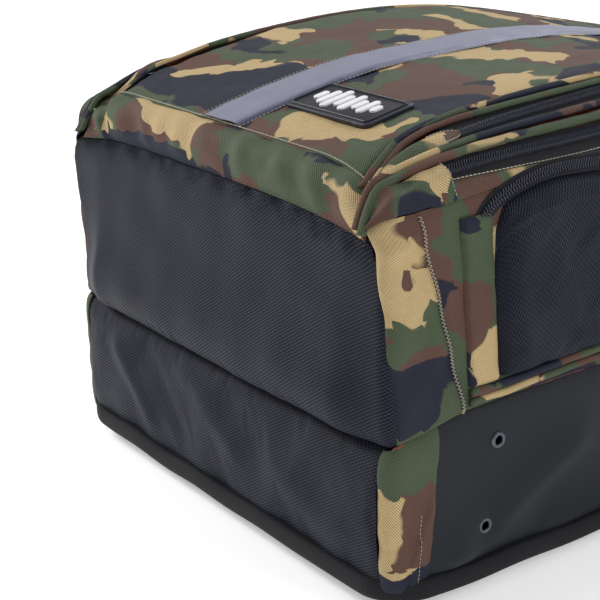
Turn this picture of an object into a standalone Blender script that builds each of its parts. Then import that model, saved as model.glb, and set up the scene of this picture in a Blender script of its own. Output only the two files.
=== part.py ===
"""A padded gear backpack lying on its back: a rear laptop compartment, a main compartment with a
zipped lid, a shallow front pocket on that lid, two side pockets, straps and a carry handle.

Frame: +X across the bag, +Y from its bottom end to its top end, +Z from its back to its front.
Inside this script a place along the bag is measured from the bottom end and moved to the frame's
origin, the middle of the bag's box on the floor, only when a mesh is made."""

import math

import bmesh
import bpy
from mathutils import Matrix, Vector

# ---- driving dimensions, metres ---------------------------------------------------------------
HALF_WIDTH = 0.165          # bag's half width at the fold under the lid's zip
LENGTH = 0.488              # bottom end to top end, without binding and handle
TOP_RADIUS = 0.060          # plan corner radius at the top end
END_RADIUS = 0.016          # plan corner radius at the bottom end
MIDDLE = 0.2463             # from the bottom end to the frame's origin
GAP = 0.0003                # between touching pieces
SKIN = 0.0022               # fabric with its foam and lining

PAD_TOP = 0.0120            # back pads stand on the floor up to here
BACK_LOW = 0.0123
BACK_HIGH = 0.0203
REAR_LOW = 0.0207           # rear compartment's walls
REAR_HIGH = 0.1002
MAIN_LOW = 0.1006           # main compartment's walls
BLACK_TOP = 0.2094          # top edge of the upper end panel

PEAK_Z = 0.262              # front face's highest line
PEAK_Y = 0.200
FRONT_CURVE = 0.68          # how fast the front face falls away from it, per metre
CROWN = 0.0010              # how much higher the front face is along its middle
TAPER_LENGTH = 0.160        # the lid grows to its full depth over this much of the bag

LID_HINGE_Y = 0.0360
FLAP_HINGE_Y = 0.0855
ZIP_START_Y = 0.0400
LAPTOP_FLAP_HALF = 0.098
LAPTOP_FLAP_HIGH = 0.0990
LAPTOP_HINGE = (0.4886, 0.0225)

POCKET_START = 0.066
POCKET_END = 0.370
POCKET_LOW = 0.128
POCKET_BULGE = 0.0105
POCKET_EDGE_X = 0.1672
POCKET_HINGE = (0.1672, 0.1272)
POCKET_SLIDER_Y = 0.3780
POCKET_STRIP = (0.0460, 0.0655)   # where the strip over each pocket's lower end runs

HANDLE_HINGE = (0.4915, 0.1628)
STRAP_HINGE = (0.4550, 0.0065)
STRAP_LOW = 0.0015
STRAP_HIGH = 0.0108
WEBBING_TOP = 0.0072
CLIP_PLACE = (0.0560, 0.3250, 0.0062)

FOLD_GAP = 0.0006           # each side of a fabric hinge's line
PLATE_THICK = 0.0024        # front face's fabric and foam
SLIDER_SIZE = (0.010, 0.011, 0.0036)
PULL_LENGTH = 0.024
PULL_WIDTH = 0.009
PULL_THICK = 0.0022

# Insets of the flank's lines from the outline at the fold, and how far each lies under the front
# face where the lid begins and how much it gains where the lid is at its full depth.
FLANK = (
    (0.000, 0.019, 0.014),  # fold
    (0.013, 0.006, 0.015),  # main zip
    (0.020, 0.003, 0.010),  # piping between the zips
    (0.027, 0.001, 0.006),  # front pocket's zip
    (0.040, -0.001, 0.000),  # front face's own piping
    (0.060, -0.001, 0.000),
)

OLIVE = (0.150, 0.160, 0.095, 1)
BALLISTIC = (0.030, 0.031, 0.034, 1)
SMOOTH_BLACK = (0.012, 0.014, 0.019, 1)
TAPE = (0.010, 0.010, 0.012, 1)
SILVER = (0.300, 0.300, 0.370, 1)
BADGE = (0.012, 0.014, 0.022, 1)
ORANGE = (0.700, 0.150, 0.020, 1)
STEEL = (0.300, 0.300, 0.310, 1)
HARD_BLACK = (0.020, 0.020, 0.022, 1)

parts = None
cutters = None


# ---- shape of the bag -------------------------------------------------------------------------
def front(y):
    """Height of the front face at y."""
    return PEAK_Z - FRONT_CURVE * (y - PEAK_Y) ** 2


def taper(y):
    """0 at the bottom end, 1 where the lid has its full depth."""
    t = min(1.0, max(0.0, y / TAPER_LENGTH))
    return t * t * (3 - 2 * t)


def flank(inset, y):
    """Height of the bag's flank at this inset from the outline."""
    grown = taper(y)
    for (d0, low0, gain0), (d1, low1, gain1) in zip(FLANK, FLANK[1:]):
        if inset <= d1:
            share = (inset - d0) / (d1 - d0)
            drop0 = low0 + gain0 * grown
            drop1 = low1 + gain1 * grown
            return front(y) - drop0 - share * (drop1 - drop0)
    return front(y) + 0.001


def fold(inset, y):
    """Height of the fold where the walls end."""
    return flank(0.0, y) - GAP


def flat(height):
    """A level line."""
    return lambda inset, y: height


def arc(cx, cy, radius, start, end, steps):
    """Points of an arc, from start to end in degrees."""
    made = []
    for k in range(steps + 1):
        a = math.radians(start + (end - start) * k / steps)
        made.append((cx + radius * math.cos(a), cy + radius * math.sin(a)))
    return made


def path(span, inset, start=0.0):
    """Plan points of the outline at this inset, anticlockwise from above.
    Spans: corner (bottom right corner and side), low_corner (that corner alone), back_side (side and
    top right corner), top (both top corners), u (all but the end), ring (closed)."""
    w = HALF_WIDTH - inset
    r = TOP_RADIUS - inset
    e = END_RADIUS - inset
    top_y = LENGTH - TOP_RADIUS
    side = [(w, start + (top_y - start) * k / 7) for k in range(8)]
    turn = arc(HALF_WIDTH - TOP_RADIUS, top_y, r, 0, 90, 6)
    low_turn = arc(HALF_WIDTH - END_RADIUS, END_RADIUS, max(e, 0.002), -90, 0, 4)
    if span == "corner":
        rest = [(w, END_RADIUS + (top_y - END_RADIUS) * k / 7) for k in range(1, 8)]
        return low_turn + rest
    if span == "low_corner":
        return low_turn + [(w, start)]
    if span == "back_side":
        return side + turn[1:]
    half_top = turn + [(0.0, LENGTH - inset)]
    if span == "top":
        return half_top + [(-x, y) for x, y in reversed(half_top[:-1])]
    if span == "u":
        half = side[:-1] + half_top
        return half + [(-x, y) for x, y in reversed(half[:-1])]
    half = [(0.0, inset)] + low_turn + side[1:-1] + half_top
    return half + [(-x, y) for x, y in reversed(half[1:-1])]


# ---- making objects ---------------------------------------------------------------------------
def material(name, colour, rough=0.8, metal=0.0):
    """A Principled material in one colour."""
    mat = bpy.data.materials.new(name)
    mat.use_nodes = True
    shader = mat.node_tree.nodes["Principled BSDF"]
    shader.inputs["Base Color"].default_value = colour
    shader.inputs["Roughness"].default_value = rough
    shader.inputs["Metallic"].default_value = metal
    return mat


def add(name, mesh, colour, rough=0.8, metal=0.0):
    """Puts a mesh in the bag's collection as one named sub-part."""
    obj = bpy.data.objects.new(name, mesh)
    mesh.materials.append(material(name, colour, rough, metal))
    parts.objects.link(obj)
    return obj


def placed(x, y, z):
    """A point of the bag in the frame."""
    return Vector((x, y - MIDDLE, z))


def mesh_from(name, points, faces):
    """A mesh from points of the bag and faces that point outwards."""
    mesh = bpy.data.meshes.new(name)
    mesh.from_pydata([placed(*p) for p in points], [], faces)
    made = bmesh.new()
    made.from_mesh(mesh)
    bmesh.ops.recalc_face_normals(made, faces=made.faces)
    made.to_mesh(mesh)
    made.free()
    return mesh


def wrap(rings, closed):
    """Faces of a solid through equal rings of points; the last ring joins the first if closed."""
    count = len(rings[0])
    faces = []
    pairs = len(rings) if closed else len(rings) - 1
    for i in range(pairs):
        a = i * count
        b = (i + 1) % len(rings) * count
        for j in range(count):
            k = (j + 1) % count
            faces.append((a + j, b + j, b + k, a + k))
    if not closed:
        faces.append(tuple(reversed(range(count))))
        last = (len(rings) - 1) * count
        faces.append(tuple(last + j for j in range(count)))
    return faces


def band(name, span, levels, colour, start=0.0, skin=SKIN, side=1, **look):
    """A wall or band of fabric along the outline. Each level is (inset, height function, how far the
    inner edge lies below the outer one). side=-1 makes the mirrored piece on the left."""
    outer = [path(span, inset, start) for inset, _, _ in levels]
    inner = [path(span, inset + skin, start) for inset, _, _ in levels]
    rings = []
    for i in range(len(outer[0])):
        ring = []
        for k, (inset, height, _) in enumerate(levels):
            x, y = outer[k][i]
            ring.append((side * x, y, height(inset, y)))
        for k in reversed(range(len(levels))):
            inset, height, fall = levels[k]
            x, y = inner[k][i]
            ring.append((side * x, y, height(inset, outer[k][i][1]) - fall))
        rings.append(ring)
    points = [p for ring in rings for p in ring]
    mesh = mesh_from(name, points, wrap(rings, span == "ring"))
    return add(name, mesh, colour, **look)


def plate(name, rows, thick, colour, **look):
    """A sheet through rows of points, each row across the bag, thick straight down."""
    rings = []
    for row in rows:
        under = [(x, y, z - thick) for x, y, z in reversed(row)]
        rings.append(list(row) + under)
    points = [p for ring in rings for p in ring]
    return add(name, mesh_from(name, points, wrap(rings, False)), colour, **look)


def flat_plate(name, inset, low, high, colour, **look):
    """A level sheet inside the whole outline at this inset."""
    outline = path("ring", inset, END_RADIUS)
    rings = [[(x, y, z) for x, y in outline] for z in (low, high)]
    points = [p for ring in rings for p in ring]
    return add(name, mesh_from(name, points, wrap(rings, False)), colour, **look)


def half_width(y, inset):
    """Half the outline's width at y, at this inset."""
    over = y - (LENGTH - TOP_RADIUS)
    w = HALF_WIDTH - inset
    if over <= 0:
        return w
    r = TOP_RADIUS - inset
    return w - r + math.sqrt(max(0.0, r * r - over * over))


def stations(first, last, count, ease_top):
    """Places along the bag from first to last, closer together towards a rounded top corner."""
    made = []
    for k in range(count + 1):
        t = k / count
        if ease_top:
            t = math.sin(t * math.pi / 2)
        made.append(first + (last - first) * t)
    return made


def block(name, centre, size, bevel, colour, turn=0.0, axis="X", segments=2, **look):
    """A box with rounded edges, turned about one axis, its origin at its centre."""
    mesh = bpy.data.meshes.new(name)
    made = bmesh.new()
    bmesh.ops.create_cube(made, size=1.0, matrix=Matrix.Diagonal((*size, 1.0)))
    made.to_mesh(mesh)
    made.free()
    obj = add(name, mesh, colour, **look)
    obj.matrix_world = Matrix.Translation(placed(*centre)) @ Matrix.Rotation(turn, 4, axis)
    soften = obj.modifiers.new("rounded edges", "BEVEL")
    soften.width = bevel
    soften.segments = segments
    return obj


def hinged(obj, y, z, x=0.0):
    """Moves a piece's origin onto its joint's axis and leaves the piece where it is."""
    bpy.context.view_layer.update()
    target = placed(x, y, z)
    shift = Matrix.Translation(target).inverted() @ obj.matrix_world
    obj.data.transform(shift)
    obj.matrix_world = Matrix.Translation(target)
    return obj


# ---- back and straps --------------------------------------------------------------------------
def back():
    """The padded back panel, its stiffener, its binding and the two pads that the bag lies on."""
    flat_plate("back_panel", 0.0025, BACK_LOW, BACK_HIGH, BALLISTIC)
    flat_plate("back_stiffener", 0.0080, BACK_HIGH + GAP, BACK_HIGH + 0.0023, HARD_BLACK, rough=0.5)
    levels = [(-0.0060, flat(0.0085), 0.0), (-0.0065, flat(0.0145), 0.0), (-0.0045, flat(0.0200), 0.0)]
    band("edge_binding", "ring", levels, TAPE, start=END_RADIUS, skin=0.0066)
    block("upper_back_pad", (0, 0.2725, PAD_TOP / 2), (0.080, 0.145, PAD_TOP), 0.004, BALLISTIC)
    block("lumbar_pad", (0, 0.105, PAD_TOP / 2), (0.170, 0.150, PAD_TOP), 0.004, BALLISTIC)
    block("strap_yoke", (0, 0.4670, 0.0071), (0.190, 0.0220, 0.0096), 0.003, BALLISTIC)


STRAP_LINE = (
    (0.057, 0.4515, 0.0300),
    (0.077, 0.4050, 0.0290),
    (0.096, 0.3500, 0.0280),
    (0.109, 0.2900, 0.0275),
    (0.116, 0.2300, 0.0270),
    (0.118, 0.1750, 0.0250),
    (0.118, 0.1340, 0.0190),
)


def strap(side, word):
    """One shoulder strap: pad, ladder lock, chest strap half, and the webbing sewn to the bag."""
    rows = [[(side * (x - w), y, STRAP_HIGH), (side * (x + w), y, STRAP_HIGH)] for x, y, w in STRAP_LINE]
    pad = plate(f"{word}_strap_pad", rows, STRAP_HIGH - STRAP_LOW, BALLISTIC)
    hinged(pad, *STRAP_HINGE)
    lock = block(f"{word}_ladder_lock", (side * 0.118, 0.1200, 0.0062), (0.034, 0.026, 0.006),
                 0.0015, HARD_BLACK, rough=0.4)
    hinged(lock, *STRAP_HINGE)
    rows = [
        [(side * 0.1055, 0.1065, WEBBING_TOP), (side * 0.1305, 0.1065, WEBBING_TOP)],
        [(side * 0.1110, 0.0600, WEBBING_TOP), (side * 0.1360, 0.0600, WEBBING_TOP)],
        [(side * 0.1250, 0.0160, WEBBING_TOP), (side * 0.1500, 0.0160, WEBBING_TOP)],
    ]
    plate(f"{word}_lower_webbing", rows, 0.0020, TAPE)
    clip_x, clip_y, clip_z = CLIP_PLACE
    clip = block(f"{word}_chest_clip", (side * clip_x, clip_y, clip_z), (0.024, 0.022, 0.0055),
                 0.0015, HARD_BLACK, rough=0.4)
    hinged(clip, clip_y, clip_z, side * clip_x)


# ---- rear compartment -------------------------------------------------------------------------
EYELET_PLACES = ((0.0630, 0.038), (0.0722, 0.0855))   # along the bag and up
EYELET_RADIUS = 0.0048
EYELET_HOLE = 0.0026


def rear_levels():
    """A rear wall's levels: it leans out a little from the back to the crease."""
    return [
        (0.0015, flat(REAR_LOW), 0.0),
        (0.0000, flat(0.0600), 0.0),
        (-0.0005, flat(REAR_HIGH), 0.0),
    ]


def cut_round(obj, name, centre, radius, depth, axis):
    """Cuts a round hole through obj."""
    mesh = bpy.data.meshes.new(name)
    made = bmesh.new()
    bmesh.ops.create_cone(made, cap_ends=True, segments=12, radius1=radius, radius2=radius, depth=depth)
    made.to_mesh(mesh)
    made.free()
    tool = bpy.data.objects.new(name, mesh)
    tool.matrix_world = Matrix.Translation(placed(*centre)) @ Matrix.Rotation(math.pi / 2, 4, axis)
    tool.hide_render = True
    tool.display_type = "WIRE"
    cutters.objects.link(tool)
    cut = obj.modifiers.new(name, "BOOLEAN")
    cut.object = tool
    cut.operation = "DIFFERENCE"
    cut.solver = "EXACT"


def eyelet(name, side, place, z):
    """A pressed metal eyelet: a turned flange with a hole through it."""
    profile = (
        (EYELET_HOLE + 0.0004, 0.0012),
        (EYELET_RADIUS - 0.0006, 0.0011),
        (EYELET_RADIUS, 0.0004),
        (EYELET_RADIUS, 0.0),
        (EYELET_HOLE, 0.0),
        (EYELET_HOLE, 0.0008),
    )
    rings = []
    steps = 16
    face = side * (HALF_WIDTH + 0.0010)
    for k in range(steps):
        a = 2 * math.pi * k / steps
        ring = []
        for r, out in profile:
            ring.append((face + side * out, place + r * math.cos(a), z + r * math.sin(a)))
        rings.append(ring)
    points = [p for ring in rings for p in ring]
    mesh = mesh_from(name, points, wrap(rings, True))
    add(name, mesh, STEEL, rough=0.35, metal=1.0)


def end_wall(name, low, high, bulge, half, colour, lean=0.0):
    """A padded panel of the bottom end, bulging a little, level with low and high."""
    heights = [low + (high - low) * k / 4 for k in range(5)]
    rows = []
    for k, z in enumerate(heights):
        swell = bulge * math.sin(math.pi * (0.08 + 0.84 * k / 4))
        row = []
        for j in range(7):
            x = half * (j / 3 - 1)
            away = swell * (1 - (x / half) ** 4) - lean * max(0, k - 3)
            row.append((x, -away, z))
        rows.append(row)
    rings = []
    for row in rows:
        rings.append(row + [(x, 0.0052, z) for x, _, z in reversed(row)])
    points = [p for ring in rings for p in ring]
    return add(name, mesh_from(name, points, wrap(rings, False)), colour)


def rear_compartment():
    """Walls of the laptop compartment, its vents, its top flap and the padded divider over it."""
    end_wall("lower_end_panel", REAR_LOW, REAR_HIGH, 0.0040, 0.1485, BALLISTIC)
    for side, word in ((1, "right"), (-1, "left")):
        band(f"{word}_corner_strip", "low_corner", rear_levels(), OLIVE, start=0.0380, side=side)
        panel = band(f"{word}_rear_side", "back_side", rear_levels(), SMOOTH_BLACK,
                     start=0.0386, side=side, rough=0.6)
        for n, (place, z) in enumerate(EYELET_PLACES):
            cut_round(panel, f"{word} vent cutter {n}", (side * HALF_WIDTH, place, z),
                      EYELET_HOLE, 0.02, "Y")
            eyelet(f"{word}_eyelet_{n + 1}", side, place, z)
    flap = block("laptop_flap", (0, LENGTH - 0.0014, (LAPTOP_HINGE[1] + 0.001 + LAPTOP_FLAP_HIGH) / 2),
                 (2 * LAPTOP_FLAP_HALF, 0.0026, LAPTOP_FLAP_HIGH - LAPTOP_HINGE[1] - 0.001),
                 0.0008, SMOOTH_BLACK, segments=1)
    hinged(flap, *LAPTOP_HINGE)
    flat_plate("laptop_divider", 0.0060, 0.0984, 0.1024, ORANGE)


# ---- main compartment -------------------------------------------------------------------------
def cross_drop(x):
    """How far the front skin falls towards the flanks near the bottom end."""
    over = max(0.0, abs(x) - 0.118)
    return over * 0.28


def end_band():
    """The band from the upper end panel over the edge to the lid's fold line."""
    lines = (
        (0.0010, 0.2098, 0.1480),
        (0.0035, 0.2240, 0.1470),
        (0.0150, front(0.0150), 0.1480),
        (LID_HINGE_Y - FOLD_GAP, front(LID_HINGE_Y - FOLD_GAP), 0.1500),
    )
    shares = (-1.0, -0.9, -0.79, -0.4, 0.0, 0.4, 0.79, 0.9, 1.0)
    rings = []
    for k, (y, z, half) in enumerate(lines):
        falls = 1.0 if k > 1 else 0.35 * k
        top = [(s * half, y, z - falls * cross_drop(s * half)) for s in shares]
        back_y = y + (0.0026 if k < 2 else 0.0012 if k == 2 else 0.0)
        drop = 0.0 if k == 0 else 0.0026
        under = [(x, back_y, high - drop) for x, _, high in reversed(top)]
        rings.append(top + under)
    points = [p for ring in rings for p in ring]
    add("end_band", mesh_from("end_band", points, wrap(rings, False)), OLIVE)


def main_compartment():
    """Camouflage walls, the bottom end's upper panel, and the bands up to the main zip."""
    end_wall("upper_end_panel", MAIN_LOW, BLACK_TOP, 0.0045, 0.1485, BALLISTIC, lean=-0.0010)
    wall = [(-0.0005, flat(MAIN_LOW), 0.0), (0.0, flat(0.150), 0.0), (0.0, fold, SKIN)]
    shoulder = [(0.0004, flank, SKIN), (0.0080, flank, SKIN)]
    for side, word in ((1, "right"), (-1, "left")):
        band(f"{word}_main_side", "corner", wall, OLIVE, side=side)
        band(f"{word}_zip_band", "corner", shoulder, OLIVE, side=side)
    band("main_top_wall", "top", wall, OLIVE)
    shoulder_top = band("top_zip_band", "top", shoulder, OLIVE)
    for obj in (bpy.data.objects["main_top_wall"], shoulder_top):
        obj.data.transform(Matrix.Translation((0, GAP, 0)))
    band("main_zip_lower_tape", "u", [(0.0085, flank, SKIN), (0.0128, flank, SKIN)], TAPE,
         start=ZIP_START_Y)


# ---- lid with the front pocket ----------------------------------------------------------------
def skin_rows(first, last, count, inset, ease_top):
    """Rows of the front face between two places along the bag."""
    rows = []
    for y in stations(first, last, count, ease_top):
        w = half_width(y, inset)
        rows.append([(s * w, y, front(y) + CROWN * (1 - s * s)) for s in (-1, -0.5, 0, 0.5, 1)])
    return rows


def lid():
    """The main compartment's lid, which is the front pocket's body."""
    low = LID_HINGE_Y + FOLD_GAP
    pieces = [
        band("main_zip_upper_tape", "u", [(0.0132, flank, SKIN), (0.0182, flank, SKIN)], TAPE,
             start=ZIP_START_Y),
        band("lid_gusset", "u", [(0.0187, flank, SKIN), (0.0225, flank, SKIN), (0.0268, flank, SKIN)],
             OLIVE, start=ZIP_START_Y),
        plate("lid_front", skin_rows(low, FLAP_HINGE_Y - FOLD_GAP, 4, 0.0400, False), PLATE_THICK, OLIVE),
    ]
    rows = []
    for y in stations(ZIP_START_Y + 0.004, LENGTH - 0.0240, 14, True):
        w = half_width(y, 0.0240)
        z = flank(0.013, y) - 0.0040
        rows.append([(-w, y, z), (w, y, z)])
    pieces.append(plate("lid_divider", rows, 0.0020, ORANGE))
    slope = math.atan2(front(0.0755) - front(0.0425), 0.033)
    pieces.append(block("badge", (0.060, 0.0590, front(0.0590) + 0.0026), (0.0735, 0.033, 0.0026),
                        0.0008, BADGE, turn=slope, rough=0.45))
    for piece in pieces:
        hinged(piece, LID_HINGE_Y, front(LID_HINGE_Y))


def front_flap():
    """The front pocket's flap with its zip tape, piped edge and reflective stripe."""
    start = FLAP_HINGE_Y + 2 * FOLD_GAP
    pieces = [
        band("front_zip_upper_tape", "u", [(0.0272, flank, SKIN), (0.0332, flank, SKIN)], TAPE, start=start),
        band("flap_edge", "u", [(0.0337, flank, SKIN), (0.0365, flank, SKIN), (0.0395, flank, SKIN)],
             OLIVE, start=start),
        plate("front_panel", skin_rows(start - FOLD_GAP, LENGTH - 0.0425, 14, 0.0425, True),
              PLATE_THICK, OLIVE),
    ]
    rows = []
    for y in stations(start, LENGTH - 0.0440, 14, True):
        rows.append([(-0.0150, y, front(y) + 0.0020), (0.0150, y, front(y) + 0.0020)])
    pieces.append(plate("reflective_stripe", rows, 0.0006, SILVER, rough=0.3))
    for piece in pieces:
        hinged(piece, FLAP_HINGE_Y, front(FLAP_HINGE_Y) + CROWN)


# ---- side pockets -----------------------------------------------------------------------------
def pocket_top(y):
    """Height of the side pocket's zipped edge: a straight run after a rounded start."""
    line = 0.2230 - 0.070 * (y - 0.100)
    short = max(0.0, 0.106 - y) / 0.040
    return line - 0.0150 * short * short


def pocket(side, word):
    """A side pocket's bulging face, hinged at its rear seam, and the strip over its lower end."""
    rows = []
    for k in range(11):
        t = k / 10
        y = POCKET_START + (POCKET_END - POCKET_START) * t
        across = (1 - abs(2 * t - 1) ** 6)
        row = []
        for j in range(7):
            v = j / 6
            z = POCKET_LOW + (pocket_top(y) - POCKET_LOW) * v
            out = POCKET_BULGE * across * (1 - abs(2 * v - 1) ** 4)
            row.append((side * (POCKET_EDGE_X + out), y, z))
        rows.append(row)
    rings = []
    for row in rows:
        back_face = [(x - side * 0.0016, y, z) for x, y, z in reversed(row)]
        rings.append(row + back_face)
    points = [p for ring in rings for p in ring]
    name = f"{word}_pocket_face"
    face = add(name, mesh_from(name, points, wrap(rings, False)), BALLISTIC)
    hinged(face, 0.2150, POCKET_HINGE[1], side * POCKET_HINGE[0])
    rings = []
    for y in POCKET_STRIP:
        rings.append([
            (side * 0.1655, y, POCKET_LOW),
            (side * 0.1690, y, POCKET_LOW),
            (side * 0.1700, y, 0.170),
            (side * 0.1685, y, 0.2080),
            (side * 0.1655, y, 0.2080),
        ])
    points = [p for ring in rings for p in ring]
    name = f"{word}_pocket_strip"
    add(name, mesh_from(name, points, wrap(rings, False)), OLIVE)


# ---- handle and zip pulls ---------------------------------------------------------------------
def carry_handle():
    """The carry handle: webbing legs into a padded grip, hanging from two sewn ends."""
    line = (
        (-0.0600, 0.1620, 0.010, 0.0026),
        (-0.0590, 0.1480, 0.010, 0.0026),
        (-0.0500, 0.1340, 0.010, 0.0040),
        (-0.0340, 0.1285, 0.011, 0.0085),
        (0.0000, 0.1270, 0.011, 0.0095),
    )
    line = line + tuple((-x, z, w, t) for x, z, w, t in reversed(line[:-1]))
    rings = []
    for k, (x, z, half, thick) in enumerate(line):
        before = line[max(0, k - 1)]
        after = line[min(len(line) - 1, k + 1)]
        along = Vector((after[0] - before[0], after[1] - before[1])).normalized()
        nx, nz = -along.y, along.x
        y0 = LENGTH + 0.0012
        y1 = y0 + thick
        rings.append([
            (x + nx * half, y0, z + nz * half),
            (x + nx * half, y1, z + nz * half),
            (x - nx * half, y1, z - nz * half),
            (x - nx * half, y0, z - nz * half),
        ])
    points = [p for ring in rings for p in ring]
    mesh = mesh_from("carry_handle", points, wrap(rings, False))
    hinged(add("carry_handle", mesh, BALLISTIC), *HANDLE_HINGE)


def top_zip_pull(word, x, inset):
    """A slider on a zip across the top end, with its pull lying down the slope. It stands on the
    tape below the zip's line, so that what is above can open past it."""
    y = LENGTH - inset
    z = flank(inset, y)
    step = 0.004
    rise = flank(inset + step, y - step) - flank(inset - step, y + step)
    slope = math.atan2(rise, 2 * step)
    out = Vector((math.sin(slope), math.cos(slope)))
    down = Vector((math.cos(slope), -math.sin(slope)))
    turn = -slope
    body = (y + 0.0026 * out.x, z + 0.0026 * out.y)
    block(f"{word}_slider", (x, *body), SLIDER_SIZE, 0.0010, STEEL, turn=turn,
          rough=0.35, metal=1.0)
    pivot = (y + 0.0060 * out.x + 0.0010 * down.x, z + 0.0060 * out.y + 0.0010 * down.y)
    mid = (pivot[0] + down.x * PULL_LENGTH / 2, pivot[1] + down.y * PULL_LENGTH / 2)
    tab = block(f"{word}_pull", (x, *mid), (PULL_WIDTH, PULL_LENGTH, PULL_THICK), 0.0009, HARD_BLACK,
                turn=turn, rough=0.5)
    hinged(tab, *pivot, x)


def laptop_zip_pull():
    """The laptop flap's slider, parked past the flap's side, with its pull hanging."""
    block("laptop_slider", (0.1040, LENGTH + 0.0030, 0.1050), (0.010, 0.0036, 0.011), 0.0010, STEEL,
          rough=0.35, metal=1.0)
    tab = block("laptop_pull", (0.1040, LENGTH + 0.0064, 0.0930), (PULL_WIDTH, PULL_THICK, PULL_LENGTH),
                0.0009, HARD_BLACK, rough=0.5)
    hinged(tab, LENGTH + 0.0064, 0.1050, 0.1040)


def pocket_zip_pull(side, word):
    """A side pocket's slider, parked past the pocket, with its pull trailing along the zip."""
    y = POCKET_SLIDER_Y
    z = pocket_top(y) + 0.0052
    x = HALF_WIDTH + 0.0024
    block(f"{word}_pocket_slider", (side * x, y, z), (0.0036, 0.011, 0.0090), 0.0010, STEEL,
          rough=0.35, metal=1.0)
    tab = block(f"{word}_pocket_pull", (side * (x + 0.0034), y + PULL_LENGTH / 2, z),
                (PULL_THICK, PULL_LENGTH, 0.0080), 0.0009, HARD_BLACK, rough=0.5)
    hinged(tab, y, z, side * (x + 0.0034))


# ---- whole bag --------------------------------------------------------------------------------
def start_scene():
    """Clears the scene and makes the two collections."""
    global parts, cutters
    for obj in list(bpy.data.objects):
        bpy.data.objects.remove(obj, do_unlink=True)
    parts = bpy.data.collections.new("gear_backpack")
    cutters = bpy.data.collections.new("cutters")
    bpy.context.scene.collection.children.link(parts)
    bpy.context.scene.collection.children.link(cutters)


def main():
    start_scene()
    back()
    rear_compartment()
    main_compartment()
    end_band()
    lid()
    front_flap()
    carry_handle()
    for side, word in ((1, "right"), (-1, "left")):
        strap(side, word)
        pocket(side, word)
        pocket_zip_pull(side, word)
    top_zip_pull("left_main_zip", -0.0500, 0.0094)
    top_zip_pull("right_main_zip", -0.0260, 0.0094)
    top_zip_pull("front_zip", 0.0500, 0.0227)
    laptop_zip_pull()


main()
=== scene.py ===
"""Looks of a padded camouflage gear backpack that lies on its back.

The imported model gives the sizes, the bodies and the places of the hard pieces. This script sews the
soft pieces round it: walls, lid, front flap, zips with real coils, pipings, pockets and straps.
A place along the bag is measured from the bottom end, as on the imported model's drawing, and becomes a
place in the frame only when a mesh is made."""

import logging
import math
from dataclasses import dataclass, field
from enum import Enum
from typing import Callable, Dict, List, Optional, Sequence, Tuple

import bmesh
import bpy
import numpy as np
from mathutils import Matrix, Vector


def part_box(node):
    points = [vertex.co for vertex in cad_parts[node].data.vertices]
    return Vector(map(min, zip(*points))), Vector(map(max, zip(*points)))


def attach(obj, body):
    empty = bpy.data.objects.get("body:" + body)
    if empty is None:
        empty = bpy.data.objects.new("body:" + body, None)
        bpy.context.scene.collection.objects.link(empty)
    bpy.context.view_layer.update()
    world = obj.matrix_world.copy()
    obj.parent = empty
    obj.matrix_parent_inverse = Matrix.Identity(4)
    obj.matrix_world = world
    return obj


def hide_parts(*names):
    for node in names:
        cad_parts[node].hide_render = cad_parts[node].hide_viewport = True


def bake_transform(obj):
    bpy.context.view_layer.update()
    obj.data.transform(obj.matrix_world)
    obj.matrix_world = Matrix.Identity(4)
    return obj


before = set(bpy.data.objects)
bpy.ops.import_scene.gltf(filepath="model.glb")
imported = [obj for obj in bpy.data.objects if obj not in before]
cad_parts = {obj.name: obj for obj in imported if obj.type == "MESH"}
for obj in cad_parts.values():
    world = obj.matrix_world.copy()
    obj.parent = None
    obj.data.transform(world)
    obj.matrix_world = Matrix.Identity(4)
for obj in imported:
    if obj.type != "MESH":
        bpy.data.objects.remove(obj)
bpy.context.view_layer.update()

LOG = logging.getLogger("backpack")

Array = np.ndarray
Pair = Tuple[float, float]
Colour = Tuple[float, ...]
SIDES = ((1, "right"), (-1, "left"))
TAPE_THICK = 0.0008
LIGHT_THICK = 0.0016
PANEL_THICK = 0.0018
HEAVY_THICK = 0.0020


# ---- small geometry helpers -------------------------------------------------------------------
def unit(vectors: Array) -> Array:
    """Vectors at length one."""
    return vectors / np.maximum(np.linalg.norm(vectors, axis=-1, keepdims=True), 1e-12)


def smooth(value: Array) -> Array:
    """0 to 1 with soft ends."""
    t = np.clip(value, 0.0, 1.0)
    return t * t * (3 - 2 * t)


def crown(share: Array, power: float = 4.0) -> Array:
    """1 in the middle of 0 to 1, falling to 0 at both ends; a higher power is flatter on top."""
    return 1 - np.abs(2 * share - 1) ** power


def ripple(points: Array, size: float, seed: int) -> Array:
    """Soft bumps about one size across, from -1 to 1, as slack cloth has them.

    Args:
        points: places, in metres, with the last axis the coordinates.
        size: how far apart the bumps are.
        seed: picks one pattern.

    Returns:
        One height for each place.
    """
    draw = np.random.default_rng(seed)
    total = np.zeros(points.shape[:-1])
    for _ in range(7):
        way = draw.normal(size=points.shape[-1])
        way *= draw.uniform(0.6, 1.5) * math.tau / size / np.linalg.norm(way)
        total += np.sin(points @ way + draw.uniform(0, math.tau))
    return total / 4.0


def grid_of(*parts: Array) -> Array:
    """Numbers spread over a common lattice and put side by side in its last axis."""
    return np.stack(np.broadcast_arrays(*parts), -1)


def shares(rows: int, columns: int, low: float = 0.0) -> Tuple[Array, Array]:
    """A column of shares from 0 to 1, and a row of shares from low to 1."""
    return np.linspace(0, 1, rows)[:, None], np.linspace(low, 1, columns)[None, :]


def travelled(points: Array) -> Array:
    """Length of a path up to each of its points."""
    return np.concatenate([[0.0], np.cumsum(np.linalg.norm(np.diff(points, axis=0), axis=1))])


def relaxed(values: Array, times: int) -> Array:
    """Values evened out with their neighbours, the two ends kept."""
    values = values.copy()
    for _ in range(times):
        values[1:-1] = (values[:-2] + 2 * values[1:-1] + values[2:]) / 4
    return values


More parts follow.
